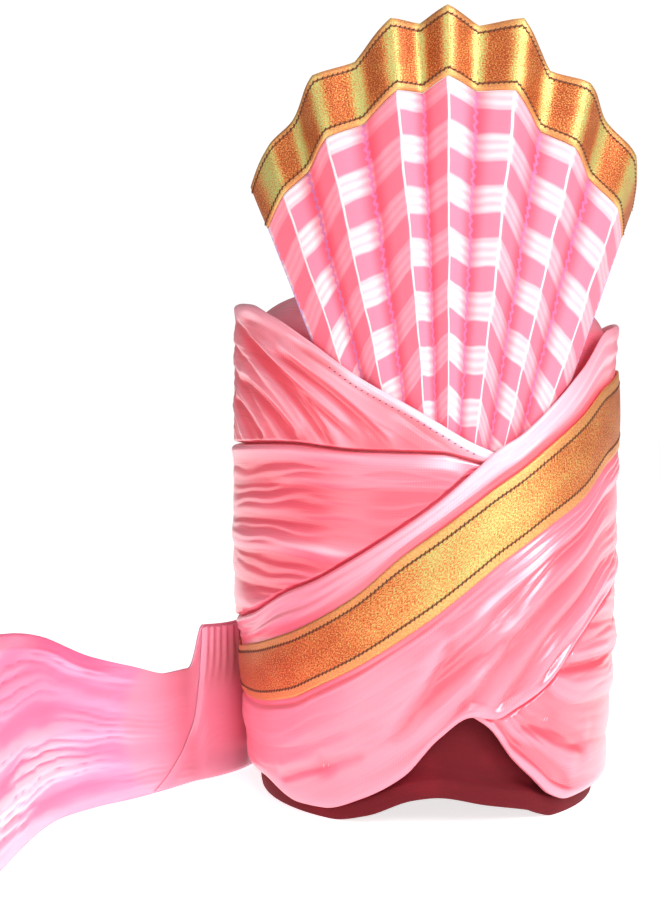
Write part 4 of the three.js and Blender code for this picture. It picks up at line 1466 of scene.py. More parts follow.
@dataclass
class Wrap(Piece):
    """A wound wrap with one free edge and one edge tucked under its neighbour."""

    first: float = -195.0
    last: float = 15.0
    free: Edge = Edge.TOP
    pleats: Pleats = Pleats()
    creases: tuple[Crease, ...] = ()
    dimples: tuple[Dimple, ...] = ()
    steps: int = 240
    rows: int = 120
    spacing: Optional[Table] = None  # how the folds widen round the turban
    edge_fade: float = 0.008  # distance from the free edge over which the folds set in
    edge_highlight: float = 0.1  # how strong the painted highlight along the free edge is
    edge_width: float = 0.006

    def edges(self, angle: Array) -> Edges:
        """Heights of the lower and upper edge, the crest and the free edge's lift, at angles."""
        raise NotImplementedError

    def tuck(self, angle: Array) -> Array:
        """How far the wrap runs in under its neighbour, at angles."""
        return np.full_like(angle, WRAP_OVERLAP + TUCK_CLEAR)

    def paleness(self, angle: Array, down: Array, hollow: Array) -> Array:
        """How pale the cloth is, from 0 to 1, by angle, distance from the free edge and fold depth; here a
        painted highlight along the free edge.
        """
        return self.edge_highlight * (1 - smooth(down / self.edge_width))

    def build(self, satin: Material, rests_on: Sequence[str]) -> Object:
        """Builds and dresses the wrap.

        Args:
            satin: its finish.
            rests_on: names of the solids that it lies on.

        Returns:
            The finished object.
        """
        angle = around(self.first, self.last, self.steps, ring=False)
        low, high, crest, lift = self.edges(angle)
        sign = 1.0
        edge_round = EDGE_ROUND
        if self.free is Edge.HEM:
            low, high, sign = -high, -low, -1.0
            edge_round = HEM_ROUND
        inner_z, inner_off = lining_line(low, high, np.full_like(low, GAP), lift)
        tall = high - low
        tuck = np.minimum(self.tuck(angle), tall * TUCK_SHARE)
        thin = np.minimum(TUCK_OFFSET, crest)
        rounding = np.minimum(edge_round, tall * EDGE_ROUND_SHARE)
        z = low + (tall - rounding) * shares(self.rows)
        down = high - z
        up = smooth((z - low - tuck) / np.minimum(TUCK_RISE, 0.3 * tall))
        room = crest - np.maximum(lift, SLACK) - LEAST_CLOTH
        calm = 1 - CALM_SHARE * np.exp(-((angle - CALM_ANGLE) / CALM_SPAN) ** 2)
        depth = np.clip(np.minimum(self.pleats.depth, 0.8 * room), 0, None) * calm
        spread = self.spacing.at(angle, "spread") if self.spacing else 1.0
        relief = self.pleats.relief(arc(angle), down, spread)
        fine = self.pleats.wrinkles(arc(angle), down) * np.clip(depth / self.pleats.depth, 0, 1)
        fade = up * smooth((down - rounding) / self.edge_fade)
        offset = thin + (crest - thin) * up + (depth * relief + fine) * fade
        for stroke in (*self.creases, *self.dimples):
            offset = offset + np.minimum(stroke.relief(angle, sign * z), WRAP_BULGE) * up
        # Painted shade: the colour deepens with the depth of the folds, less where the wrap runs in under its
        # neighbour.
        full = np.maximum(depth, TINT_SHARE * self.pleats.depth)
        hollow = np.clip((crest - offset) / full, 0, 1) * (0.35 + 0.65 * up)
        if self.free is Edge.HEM:
            offset = thinned(offset, lift, down)
        floor = level_at(inner_z, inner_off, z) + LEAST_CLOTH
        offset = np.maximum(offset, np.minimum(floor, crest))
        cap_z, cap_off = half_round(high - rounding, rounding, offset[:, -1:], inner_off[:, :1], ROUND_STEPS)
        inner_z[:, :1] = high - rounding
        # pale: painted highlights, and the selvedge where a wrap has one.
        pale = np.broadcast_to(self.paleness(angle, down, hollow), z.shape)
        rest = {"hollow": hollow[:, -1:], "pale": pale[:, -1:]}
        strips = [
            Strip(sign * z, offset, {"hollow": hollow, "pale": pale}),
            Strip(sign * cap_z, cap_off, rest),
            Strip(sign * inner_z, inner_off, rest),
        ]
        made = wound_cloth(f"{self.name}_cloth", angle, strips, False, self.rows - 1)
        width = float(np.mean(run_lengths(body_point(angle, z, offset))[:, -1]))
        length = math.radians(self.last - self.first) * ARC_RADIUS
        self.settle(made, satin, (round(width, 3), round(length, 3)), rests_on)
        return made


class UpperWrap(Wrap):
    """The crescent whose top edge is the left side of the front V."""

    def edges(self, angle: Array) -> Edges:
        """Heights of the edges, the crest and the lift, at angles."""
        return tuple(UPPER_WRAP.at(angle, name) for name in ("low", "high", "crest", "high_lift"))

    def tuck(self, angle: Array) -> Array:
        """How far the wrap runs in under the middle wrap, at angles."""
        return MIDDLE_WRAP.at(angle, "high") - UPPER_WRAP.at(angle, "low") + TUCK_CLEAR

    def paleness(self, angle: Array, down: Array, hollow: Array) -> Array:
        """The white selvedge along the lower part of the V, a painted highlight along the free edge, and a
        painted sheen highlight on the crests below it.

        Args:
            angle: degrees round the turban.
            down: distance from the free edge.
            hollow: how deep the place lies in a fold.

        Returns:
            One value for each place.
        """
        run = ramp(angle, -32, 10) * ramp(angle, 22, -6)
        edge = 0.66 * run * (1 - ramp(down, 0.0035, 0.0022)) + 0.18 * (1 - smooth(down / 0.02))
        front = ramp(angle, -30, 12) * ramp(angle, 2, -8) * ramp(down, 0.012, 0.01)
        return np.maximum(edge, 0.4 * front * ramp(hollow, 0.5, -0.3))


class MiddleWrap(Wrap):
    """The level folds between the upper wrap and the cross wrap."""

    def edges(self, angle: Array) -> Edges:
        """Heights of the edges, the crest and the lift, at angles."""
        high, crest, lift = (MIDDLE_WRAP.at(angle, name) for name in ("high", "crest", "lift"))
        return CROSS_WRAP.at(turned(angle), "top") - WRAP_OVERLAP, high, crest, lift

    def paleness(self, angle: Array, down: Array, hollow: Array) -> Array:
        """A painted sheen highlight on the crests where the folds run in under the cross wrap, with the
        painted highlight along the free edge.

        Args:
            angle: degrees round the turban.
            down: distance from the free edge.
            hollow: how deep the place lies in a fold.

        Returns:
            One value for each place.
        """
        above = MIDDLE_WRAP.at(angle, "high") - down - CROSS_WRAP.at(turned(angle), "top")
        front = ramp(angle, -62, 14) * ramp(angle, 8, -6)
        near = ramp(above, 0.001, 0.004) * ramp(above, 0.03, -0.018)
        return 0.62 * front * near * ramp(hollow, 0.5, -0.25) + super().paleness(angle, down, hollow)


class LowerWrap(Wrap):
    """The right lobe of the front arch and the lower right side."""

    def edges(self, angle: Array) -> Edges:
        """Heights of the edges, the crest and the lift, at angles."""
        high = CROSS_WRAP.at(turned(angle), "hem") + WRAP_OVERLAP
        return LOWER_WRAP.at(angle, "hem"), high, LOWER_WRAP.at(angle, "crest"), np.full_like(angle, GAP)


@dataclass
class CrossWrap(Piece):
    """The wrap that crosses the front with the gold band, all the way round."""

    pleats: Pleats = Pleats()
    creases: tuple[Crease, ...] = ()
    dimples: tuple[Dimple, ...] = ()
    steps: int = 330
    rows: int = 120
    band_rows: int = 10
    roll_rows: int = 18

    def skirt(self, angle: Array, row: dict[str, Array], inner: Pair) -> Strip:
        """The cloth below the band.

        Args:
            angle: degrees round the turban, one row each.
            row: the wrap's sizes at the angles, by name.
            inner: heights and offsets of its inner line.

        Returns:
            The strip from the hem up to the band.
        """
        bottom = row["hem"] + HEM_ROUND
        top = row["band_low"] - BAND_MARGIN
        z = bottom + (top - bottom) * shares(self.rows)
        down = row["band_low"] - z
        strength, spread, sheen = (CROSS_PLEATS.at(angle, name) for name in ("pleats", "spread", "sheen"))
        room = CROSS_CREST - np.maximum(row["hem_lift"], SLACK) - LEAST_CLOTH
        depth = np.minimum(self.pleats.depth * strength, 0.85 * room)
        ease = smooth((z - bottom) / 0.007) * smooth((top - z) / 0.005)
        fine = self.pleats.wrinkles(arc(angle), down) * strength
        offset = CROSS_CREST + (depth * self.pleats.relief(arc(angle), down, spread) + fine) * ease
        for stroke in (*self.creases, *self.dimples):
            offset = offset + np.minimum(stroke.relief(angle, z), CROSS_BULGE) * smooth((z - bottom) / 0.004)
        seat = smooth(1 - (top - z) / 0.004)
        offset = offset * (1 - seat) + BAND_SEAT * seat
        # Painted shade in the creases of the folds, lighter next to the band's seat.
        hollow = np.clip((CROSS_CREST - offset) / self.pleats.depth, 0, 1) * (1 - 0.4 * seat)
        offset = thinned(offset, row["hem_lift"], z - row["hem"])
        offset = np.maximum(offset, level_at(*inner, z) + LEAST_CLOTH)
        # Painted sheen highlight on the crests of the folds in front.
        pale = sheen * ramp(hollow, 0.42, -0.25) * ramp(down, 0.006, 0.008) * ramp(down, 0.072, -0.02)
        return Strip(z, offset, {"hollow": hollow, "pale": pale})

    def roll(self, angle: Array, row: dict[str, Array], start: Array) -> list[Strip]:
        """The gathered roll above the band and its rounded edge.

        Args:
            angle: degrees round the turban, one row each.
            row: the wrap's sizes at the angles, by name.
            start: heights where the roll begins.

        Returns:
            The two strips.
        """
        top = row["top"] - EDGE_ROUND
        share = shares(self.roll_rows)[:, 1:]
        along = arc(angle)
        gather = 0.0007 * wander(52, along / 0.05, share * 2.2)
        gather = gather + 0.0004 * np.sin(share * 17 + 4 * wander(53, along / 0.06))
        crest = np.maximum(CROSS_CREST, row["top_lift"] + CROSS_ROLL)
        offset = BAND_SEAT + (crest - BAND_SEAT) * np.sin(0.5 * math.pi * np.clip(1.5 * share, 0, 1))
        offset = offset + (gather - 0.0008) * np.sin(math.pi * share)
        # Painted shade at the roll's foot beside the band, and a painted highlight on its upper side and its
        # edge.
        glow = CROSS_PLEATS.at(angle, "glow")
        marks = {"hollow": np.clip(1.1 - 2.6 * share, 0, 1), "pale": glow * ramp(share, 0.12, 0.4)}
        edge = half_round(top, np.full_like(top, EDGE_ROUND), offset[:, -1:], row["top_lift"], ROLL_STEPS)
        rolled = Strip(start + (top - start) * share, offset, marks)
        return [rolled, Strip(*edge, {"hollow": 0.0, "pale": glow})]

    def build(self, satin: Material) -> Object:
        """Builds and dresses the cross wrap.

        Args:
            satin: its finish.

        Returns:
            The finished object.
        """
        angle = around(steps=self.steps)
        row = {name: CROSS_WRAP.at(angle, name) for name in CROSS_WRAP.columns[1:]}
        inner_z, inner_off = lining_line(row["hem"], row["top"], row["hem_lift"], row["top_lift"])
        skirt = self.skirt(angle, row, (inner_z, inner_off))
        radius = np.full_like(angle, HEM_ROUND)
        hem_z, hem_off = half_round(-(row["hem"] + HEM_ROUND), radius, skirt.offsets[:, :1], row["hem_lift"],
                                    ROUND_STEPS)
        band_low = row["band_low"] - BAND_MARGIN
        band_high = row["band_high"] + BAND_MARGIN
        band_z = band_low + (band_high - band_low) * shares(self.band_rows)[:, 1:]
        inner_z[:, :1] = row["top"] - EDGE_ROUND
        inner_z[:, -1:] = row["hem"] + HEM_ROUND
        strips = [
            # hollow and pale marks: painted shade and painted highlight of each strip.
            Strip(-hem_z[:, ::-1], hem_off[:, ::-1], {"hollow": 0.1, "pale": 0.03}),
            skirt,
            Strip(band_z, np.full_like(band_z, BAND_SEAT), {"hollow": 0.7, "pale": 0.0}),
            *self.roll(angle, row, band_high),
            Strip(inner_z, inner_off, {"hollow": 0.0, "pale": 0.0}),
        ]
        made = wound_cloth("cross_wrap_cloth", angle, strips, True, ROUND_STEPS + self.rows - 1)
        width = float(np.mean(row["top"] - row["hem"])) * CROSS_TAKE_UP
        self.settle(made, satin, (round(width, 3), round(FULL_TURN, 3)), ["crown"])
        return made


@dataclass
class GoldBand(Piece):
    """The gold woven ribbon on the cross wrap."""

    steps: int = 300
    rows: int = 26
    shine_angle: float = 10.0  # angle where the painted highlight on its threads is strongest
    shine_span: float = 22.0  # how far round the painted highlight reaches

    @staticmethod
    def face(angle: Array, share: Array) -> Pair:
        """The ribbon's face with its slight waves.

        Args:
            angle: degrees round the turban.
            share: shares of the ribbon's width.

        Returns:
            Heights and offsets.
        """
        low = CROSS_WRAP.at(angle, "band_low")
        swell = 0.0003 * wander(61, arc(angle) / 0.03, share * 2.5) + 0.0007 * np.sin(math.pi * share)
        return low + (CROSS_WRAP.at(angle, "band_high") - low) * share, BAND_SEAT + GAP + BAND_WALL + swell

    def line(self, share: float) -> Path:
        """Points at a share of the width, the directions off the face, and that the path closes."""
        angle = around()[:, 0]
        return body_point(angle, *self.face(angle, np.full_like(angle, share))), outward(angle), True

    def build(self, zari: Material) -> None:
        """Builds and dresses the band.

        Args:
            zari: its finish.
        """
        angle = around(steps=self.steps)
        share = shares(self.rows)
        # Painted highlight where the band faces the lamps, falling off round the sides.
        painted_shine = 0.12 + 0.78 * np.exp(-((angle - self.shine_angle) / self.shine_span) ** 2)
        strips = [Strip(*self.face(angle, share), {"across": share, "painted_shine": painted_shine})]
        seat = np.full_like(angle, BAND_SEAT + GAP)
        for name, across in (("band_high", 1.0), ("band_low", 0.0)):
            strips.append(Strip(CROSS_WRAP.at(angle, name), seat, {"across": across, "painted_shine": painted_shine}))
        made = wound_cloth("gold_band_zari", angle, strips, True)
        width = float(np.mean(CROSS_WRAP.at(angle, "band_high") - CROSS_WRAP.at(angle, "band_low")))
        self.settle(made, zari, (round(width, 3), round(FULL_TURN * BAND_TAKE_UP, 3)), ["cross_wrap"])


@dataclass
class Fan:
    """The pleated fan standing in the front V and its gold border."""

    columns: int = 10
    rows: int = 70
    border_rows: int = 20

    def places(self) -> Array:
        """A column of fold numbers, from the left edge to the right one."""
        count = len(FAN_FOLDS.rows) - 1
        return np.linspace(0, count, count * self.columns + 1)[:, None]

    @staticmethod
    def between(places: Array, name: str) -> Array:
        """Values of a fold column, straight between the folds."""
        return np.interp(places, np.arange(len(FAN_FOLDS.rows)), FAN_FOLDS.column(name))

    def points(self, places: Array, reach: Array, push: float) -> Array:
        """Points of the fan.

        Args:
            places: fold numbers.
            reach: distances from the pivot.
            push: metres off the fan's own surface, outwards.

        Returns:
            Points in an array with one more dimension.
        """
        slant = np.radians(self.between(places, "slant"))
        x = FAN_PIVOT_X + reach * np.sin(slant)
        z = FAN_PIVOT_Z + reach * np.cos(slant)
        wide = FAN_PLAN.at(z, "half_width")
        side = np.clip((x - FAN_PLAN.at(z, "centre")) / wide, -FAN_SIDE_LIMIT, FAN_SIDE_LIMIT)
        front = np.sqrt(1 - side * side)
        share = np.maximum(reach - FAN_FLAT_REACH, 0) / (FAN_EDGE_REACH - FAN_FLAT_REACH)
        fold = self.between(places, "fold")
        rounded = np.sin(0.5 * math.pi * fold)
        soft = 0.25 + 0.6 * smooth((reach - self.between(places, "seam") + 0.012) / 0.03)
        offset = FAN_STANDOFF + FAN_PLEAT_DEPTH * share * (1 + (1 - soft) * fold + soft * rounded) + push
        offset = offset + 0.0004 * share * wander(71, places * 2.1, reach / 0.03)
        y = -FAN_PLAN.at(z, "half_depth") * front - offset * front
        return np.stack([x + offset * side, y, z], axis=-1)

    def side(self, low: Array, high: Array, rows: int, push: float) -> Lattice:
        """One side of a stretch of the fan.

        Args:
            low: distances from the pivot where it begins.
            high: distances where it ends.
            rows: rows between them.
            push: metres off the fan's own surface, outwards.

        Returns:
            The lattice with its shading values.
        """
        share = shares(rows)
        reach = low + (high - low) * share
        places = np.broadcast_to(self.places(), reach.shape)
        points = self.points(places, reach, push)
        along = run_lengths(points, axis=0)[:, -1:]
        fold = self.between(places, "fold")
        inwards = self.between(places, "seam") - reach
        marks = {
            "hollow": 0.5 - 0.5 * fold,
            "fold_number": places + 0.03 * wander(72, reach / 0.012, places),
            "from_seam": inwards + 0.0007 * wander(73, places * 1.5, reach / 0.02),
            "across": share,
            # Painted shine on the border: brighter along the fold lines, darker on the faces between them.
            "painted_shine": ramp(np.abs(fold), 0.4, 0.45),
        }
        return Lattice(points, np.stack(np.broadcast_arrays(along, reach), axis=-1), marks)

    def stretch(self, name: str, low: Array, high: Array, rows: int, half: float) -> Object:
        """A stretch of the fan as a closed wall.

        Args:
            name: the piece's name.
            low: distances from the pivot where it begins.
            high: distances where it ends.
            rows: rows between them.
            half: half the wall's thickness.

        Returns:
            The new object.
        """
        made = ClothMesh()
        made.add_wall(self.side(low, high, rows, half), self.side(low, high, rows, -half))
        return made.finish(name)

    def border_ends(self) -> Pair:
        """Distances from the pivot to the border's seam and to its outer edge."""
        return self.between(self.places(), "seam") + GAP, self.between(self.places(), "reach")

    def build(self, check: Material, zari: Material) -> None:
        """Builds and dresses the pleated cloth and its gold border.

        Args:
            check: the cloth's finish.
            zari: the border's finish.
        """
        foot, seam = (self.between(self.places(), name) for name in ("foot", "seam"))
        cloth = self.stretch("fan_cloth_check", foot, seam, self.rows, FAN_WALL / 2)
        Piece("fan_cloth", "check_cloth", "folded").settle(cloth, check, FAN_FLAT, ["crown"])
        half = FAN_WALL / 2 + BORDER_STEP
        border = self.stretch("fan_border_zari", *self.border_ends(), self.border_rows, half)
        Piece("fan_border", "gold_border", "folded").settle(border, zari, BORDER_FLAT, ["fan_cloth"])

    def border_line(self, share: float) -> Path:
        """Points along the border, the directions off its face, and that the path is open.

        Args:
            share: place between the border's seam and its outer edge.

        Returns:
            The path.
        """
        low, high = self.border_ends()
        reach = low + (high - low) * share
        face, above = (self.points(self.places(), reach, FAN_WALL / 2 + up)[:, 0] for up in (0.0003, 0.0013))
        return face, above - face, False


@dataclass
class Tail(Piece):
    """The free tail at the left, standing on its lower edge, with its folded-over root."""

    steps_per_row: int = 10  # sections between two rows of the table
    rows: int = 72
    folds: float = 4.5  # lengthwise folds between them
    drift: float = 0.35  # how far the folds climb from row to row, in radians
    gathers: float = 7.0  # small upright pleats at the folded-over layer's top
    gather_depth: float = 0.0009
    flap_steps: int = 60
    flap_start: float = 2.6  # table row where the folded-over layer comes out of the side
    flap_top: float = 5.15  # table row of its edge at the top
    flap_spread: float = 2.5  # how many more rows it covers at the bottom
    flap_lift: float = 0.0016  # how far it stands in front of the tail
    band: float = 0.0068  # width of the turned-over band along the upper edge
    band_step: float = 0.0006  # how far the band stands out

    @staticmethod
    def read(name: str, station: Array) -> Array:
        """One column of the tail's table by row number."""
        return Table(("station", "value"), tuple(enumerate(TAIL.column(name)))).at(station, "value")

    def points(self, station: Array, share: Array, push: Array) -> Pair:
        """Points of the tail and how hollow they lie.

        Args:
            station: places along the table's rows.
            share: shares of the height between the lower and the upper edge.
            push: metres off the tail's own surface, towards the back.

        Returns:
            Points, and values from 0 on a crest to 1 in a crease.
        """
        last = len(TAIL.rows) - 1
        before = np.clip(station - 0.5, 0, last)
        after = np.clip(station + 0.5, 0, last)
        along_x, along_y = (self.read(name, after) - self.read(name, before) for name in ("x", "y"))
        length = np.hypot(along_x, along_y)
        stray = 0.9 * wander(81, station / 1.6) + 0.7 * wander(82, station / 0.9, share * 5)
        phase = 2 * math.pi * self.folds * share + self.drift * station + stray
        hem = np.sin(0.5 * math.pi * np.minimum(share * 6, 1.0))
        wave = np.sin(phase)
        bend = wander(83, station / 1.3, share * 4)
        fine = 1 - 2 * np.abs(np.sin(2.2 * phase + 1.3 * bend)) ** 0.55
        shrink = np.clip(0.35 + 0.75 * wander(84, station / 1.1, share * 9), 0, 1)
        depth = self.read("fold", station) * (0.15 + 0.85 * ramp(station, 6.5, 3))
        top = self.read("top", station)
        turned_over = self.top_band(station, share, top)
        shift = self.read("lean", station) * share + push - self.band_step * turned_over
        shift = shift + hem * depth * (0.3 * wave + 0.34 * fine * shrink) * (1 - 0.6 * turned_over)
        x = self.read("x", station) + along_y / length * shift
        y = self.read("y", station) - along_x / length * shift
        points = np.stack([x, y, TAIL_CLEAR + (top - TAIL_CLEAR) * share], axis=-1)
        return points, np.clip(0.42 + 0.16 * wave + 0.5 * fine * shrink, 0, 1)

    def top_band(self, station: Array, share: Array, top: Array) -> Array:
        """The turned-over band along the upper edge of the free end, 0 or 1 with a soft step."""
        depth = top * (1 - share)
        return (1 - ramp(depth, self.band, 0.0012)) * ramp(station, 7.5, 1.5)

    def side(self, station: Array, share: Array, push: Array) -> Lattice:
        """One side of the tail.

        Args:
            station: places along the table's rows.
            share: shares of the height between the lower and the upper edge.
            push: metres off the tail's own surface, towards the back.

        Returns:
            The lattice with its shading values.
        """
        points, hollow = self.points(station, share, push)
        cloth = np.stack([run_lengths(points, axis=0), run_lengths(points)], axis=-1)
        # Painted shadow of the body over the tail's root, and the same tint along the lower edge.
        border = 7.6 + 0.5 * (1 - (2 * share - 1) ** 2)
        shadow_and_edge_tint = np.maximum(1 - smooth((station - border) / 0.4), 0.7 * (1 - ramp(share, 0.03, 0.12)))
        top = np.interp(station, np.arange(len(TAIL.rows)), TAIL.column("top"))
        turned_over = self.top_band(station, share, top)
        # Painted highlight: pale streaks on the crests of the lower folds towards the free end, off the
        # turned-over band and the bottom edge.
        pale = ramp(share, 0.7, -0.4) * ramp(hollow, 0.42, -0.16) * ramp(station, 8.5, 2) * (1 - turned_over)
        pale = pale * ramp(share, 0.06, 0.12)
        # hollow gives painted shade in the creases, and the crease colour all over the turned-over band.
        marks = {"hollow": hollow + (0.85 - hollow) * turned_over, "shadow_and_edge_tint": shadow_and_edge_tint, "pale": pale}
        return Lattice(points, cloth, marks)

    def build(self, satin: Material) -> Object:
        """Builds and dresses the tail.

        Args:
            satin: its finish.

        Returns:
            The finished object.
        """
        last = len(TAIL.rows) - 1
        count = last * self.steps_per_row + 1
        station = np.linspace(0, last, count)
        station, share = np.meshgrid(station, np.linspace(0, 1, self.rows), indexing="ij")
        front = self.side(station, share, -TAIL_WALL / 2)
        made = ClothMesh()
        made.add_wall(front, self.side(station, share, TAIL_WALL / 2))
        made.add_wall(*self.flap())
        piece = made.finish("tail_cloth")
        width = float(np.mean(front.cloth[:, -1, 1])) * TAIL_TAKE_UP
        self.settle(piece, satin, (round(width, 3), round(float(front.cloth[-1, 0, 0]), 3)), ["cross_wrap"])
        return piece

    def flap(self) -> tuple[Lattice, Lattice]:
        """The folded-over layer in front of the tail's root.

        Returns:
            Its front and its back.
        """
        run = np.linspace(0, 1, self.flap_steps)
        run, rise = np.meshgrid(run, np.linspace(0.015, 0.99, self.rows), indexing="ij")
        edge = self.flap_top + self.flap_spread * (1 - rise) ** 1.6
        place = self.flap_start + (edge - self.flap_start) * run
        lift = TAIL_WALL / 2 + 0.0003 + self.flap_lift * np.sqrt(np.sin(math.pi * run) + 1e-9)
        crimp = 0.5 + 0.5 * np.sin(2 * math.pi * self.gathers * run + 2 * wander(85, rise * 3))
        lift = lift + self.gather_depth * crimp * ramp(rise, 0.55, 0.4) * smooth((1 - run) / 0.2)
        wall = 0.0004 + 0.0008 * smooth((1 - run) / 0.1)
        sides = (self.side(place, rise, -lift - wall), self.side(place, rise, -lift))
        # Painted highlight that lightens the folded-over layer's free edge.
        for side in sides:
            side.marks["pale"] = 0.5 * ramp(run, 0.93, 0.05)
        return sides


@dataclass(frozen=True)
class Stitching:
    """Rows of stitches laid along paths on the cloth by Geometry Nodes."""

    pitch: float
    length: float
    width: float
    height: float  # how far it stands off the cloth
    slant: float  # turn of each stitch on the cloth, in degrees
    seed: int = 5

    @staticmethod
    def tree() -> Tree:
        """The node tree that turns a path into stitches, built once.

        Returns:
            The tree.
        """
        found = bpy.data.node_groups.get("running_stitches")
        if found:
            return found
        inputs = {"Geometry": GEOMETRY}
        inputs.update({name: FLOAT for name in ("Pitch", "Length", "Width", "Height", "Slant")})
        inputs.update({"Seed": "NodeSocketInt", "Thread": "NodeSocketMaterial"})
        outputs = {"Geometry": GEOMETRY}
        bench, given, taken = new_group("running_stitches", "GeometryNodeTree", inputs, outputs)
        add = bench.add
        curve = add("GeometryNodeMeshToCurve", {"Mesh": given["Geometry"]}).outputs[0]
        spaced = add("GeometryNodeResampleCurve", {"Curve": curve, "Length": given["Pitch"]}, mode="LENGTH")
        bead = add("GeometryNodeMeshUVSphere", {"Segments": 6, "Rings": 4, "Radius": 0.5}).outputs["Mesh"]
        size = add("ShaderNodeCombineXYZ", {"X": given["Length"], "Y": given["Width"], "Z": given["Height"]})
        shaped = add("GeometryNodeTransform", {"Geometry": bead, "Scale": size.outputs[0]})
        outwards = add("GeometryNodeInputNamedAttribute", {"Name": "outwards"}, data_type="FLOAT_VECTOR")
        outwards = outwards.outputs["Attribute"]
        upright = add("FunctionNodeAlignRotationToVector", {"Vector": outwards}, axis="Z")
        ways = {"Rotation": upright.outputs[0], "Vector": add("GeometryNodeInputTangent").outputs[0]}
        ahead = add("FunctionNodeAlignRotationToVector", ways, axis="X", pivot_axis="Z").outputs[0]
        limits = {RANDOM_LOW: -0.18, RANDOM_HIGH: 0.18, "Seed": given["Seed"]}
        jitter = add("FunctionNodeRandomValue", limits, data_type="FLOAT").outputs[RANDOM_RESULT]
        slant = {"Axis": (0, 0, 1), "Angle": bench.math("ADD", given["Slant"], jitter)}
        turn = add("FunctionNodeAxisAngleToRotation", slant).outputs[0]
        turns = {"Rotation": ahead, "Rotate By": turn}
        turned_by = add("FunctionNodeRotateRotation", turns, rotation_space="LOCAL").outputs[0]
        places = {"Points": spaced.outputs[0], "Instance": shaped.outputs[0], "Rotation": turned_by}
        laid = add("GeometryNodeInstanceOnPoints", places).outputs[0]
        real = add("GeometryNodeRealizeInstances", {"Geometry": laid}).outputs[0]
        soft = add("GeometryNodeSetShadeSmooth", {"Geometry": real}).outputs[0]
        dyed = add("GeometryNodeSetMaterial", {"Geometry": soft, "Material": given["Thread"]}).outputs[0]
        bench.feed(taken["Geometry"], dyed)
        return bench.tree

    def build(self, name: str, paths: Sequence[Path], thread: Material, slot: str) -> None:
        """Lays stitches along paths and turns them into one plain mesh.

        Args:
            name: the piece's name.
            paths: points, directions off the cloth, and whether the path closes on itself.
            thread: the stitches' finish.
            slot: the material slot; not used.
        """
        edges: list[tuple[int, int]] = []
        first = 0
        for line, _, closed in paths:
            count = len(line)
            edges += [(first + i, first + (i + 1) % count) for i in range(count if closed else count - 1)]
            first += count
        mesh = bpy.data.meshes.new(name)
        mesh.from_pydata(np.concatenate([line for line, _, _ in paths]).tolist(), edges, [])
        ways = np.concatenate([ways for _, ways, _ in paths])
        ways = ways / np.linalg.norm(ways, axis=-1, keepdims=True)
        layer = mesh.attributes.new("outwards", "FLOAT_VECTOR", "POINT")
        layer.data.foreach_set("vector", ways.reshape(-1))
        piece = linked(name, mesh)
        modifier = piece.modifiers.new("stitches", "NODES")
        modifier.node_group = self.tree()
        values = {"Pitch": self.pitch, "Length": self.length, "Width": self.width, "Height": self.height,
                  "Slant": math.radians(self.slant), "Seed": self.seed, "Thread": thread}
        for item in modifier.node_group.interface.items_tree:
            if item.name in values:
                modifier[item.identifier] = values[item.name]
        graph = bpy.context.evaluated_depsgraph_get()
        plain = bpy.data.meshes.new_from_object(piece.evaluated_get(graph))
        piece.modifiers.remove(modifier)
        piece.data = plain
        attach(piece, BODY_NAME)
        LOG.info("%s: %d faces", name, len(plain.polygons))


@dataclass(frozen=True)
class Tack:
    """A short bar of stitches that holds the cloth down."""

    piece: Object
    start: Array  # a place in front of the tacked spot
    inwards: Array  # direction from there to the cloth
    width: float = 0.003

    def path(self) -> Path:
        """Finds the spot on the cloth.

        Returns:
            Three points across the spot, the directions off the cloth, and that the path is open.
        """
        found, place, normal, _ = self.piece.ray_cast(Vector(self.start), Vector(self.inwards))
        if not found:
            raise ValueError(f"no cloth of {self.piece.name} in front of {tuple(self.start)}")
        across = np.array(Vector((0, 0, 1)).cross(normal).normalized())
        steps = np.array([-0.5, 0.0, 0.5])[:, None]
        return np.array(place) + steps * self.width * across, np.tile(np.array(normal), (3, 1)), False


@dataclass(frozen=True)
class Seams:
    """All the sewing that shows."""

    trim: Stitching = Stitching(pitch=0.0026, length=0.0027, width=0.0009, height=0.0006, slant=45.0)
    hem: Stitching = Stitching(pitch=0.0034, length=0.0013, width=0.0006, height=0.0005, slant=30.0, seed=9)
    bar: Stitching = Stitching(pitch=0.0015, length=0.0036, width=0.0007, height=0.0006, slant=80.0, seed=13)
    selvedge_start: float = -30.0  # angle where the selvedge's stitches begin
    selvedge_end: float = 9.0
    selvedge_drop: float = 0.0052  # how far they lie below the wrap's edge
    selvedge_lift: float = 0.0001  # how far they stand off its crest

    def build(self, band: GoldBand, fan: Fan, tacks: Sequence[Tack]) -> None:
        """Sews the dark lines of the trims, the selvedge of the V and the tacked places.

        Args:
            band: the gold band.
            fan: the fan with its border.
            tacks: the tacked places.
        """
        bpy.context.view_layer.update()
        brown = Yarn("brown_thread", srgb(104, 48, 16), srgb(62, 27, 8)).material()
        grey = Yarn("grey_thread", srgb(120, 90, 110), srgb(80, 55, 75)).material()
        pink = Yarn("pink_thread", srgb(252, 206, 220), srgb(226, 132, 156)).material()
        lines = [band.line(share) for share in (BAND_INSET, 1 - BAND_INSET)]
        self.trim.build("band_stitches", lines, brown, "gold_border")
        edges = [fan.border_line(share) for share in (BORDER_INSET, 1 - BORDER_INSET)]
        self.trim.build("border_stitches", edges, brown, "gold_border")
        run = np.linspace(self.selvedge_start, self.selvedge_end, 240)
        height = UPPER_WRAP.at(run, "high") - self.selvedge_drop
        edge = body_point(run, height, UPPER_WRAP.at(run, "crest") + self.selvedge_lift)
        self.hem.build("selvedge_stitches", [(edge, outward(run), False)], grey, "pink_cloth")
        self.bar.build("tack_stitches", [tack.path() for tack in tacks], pink, "pink_cloth")


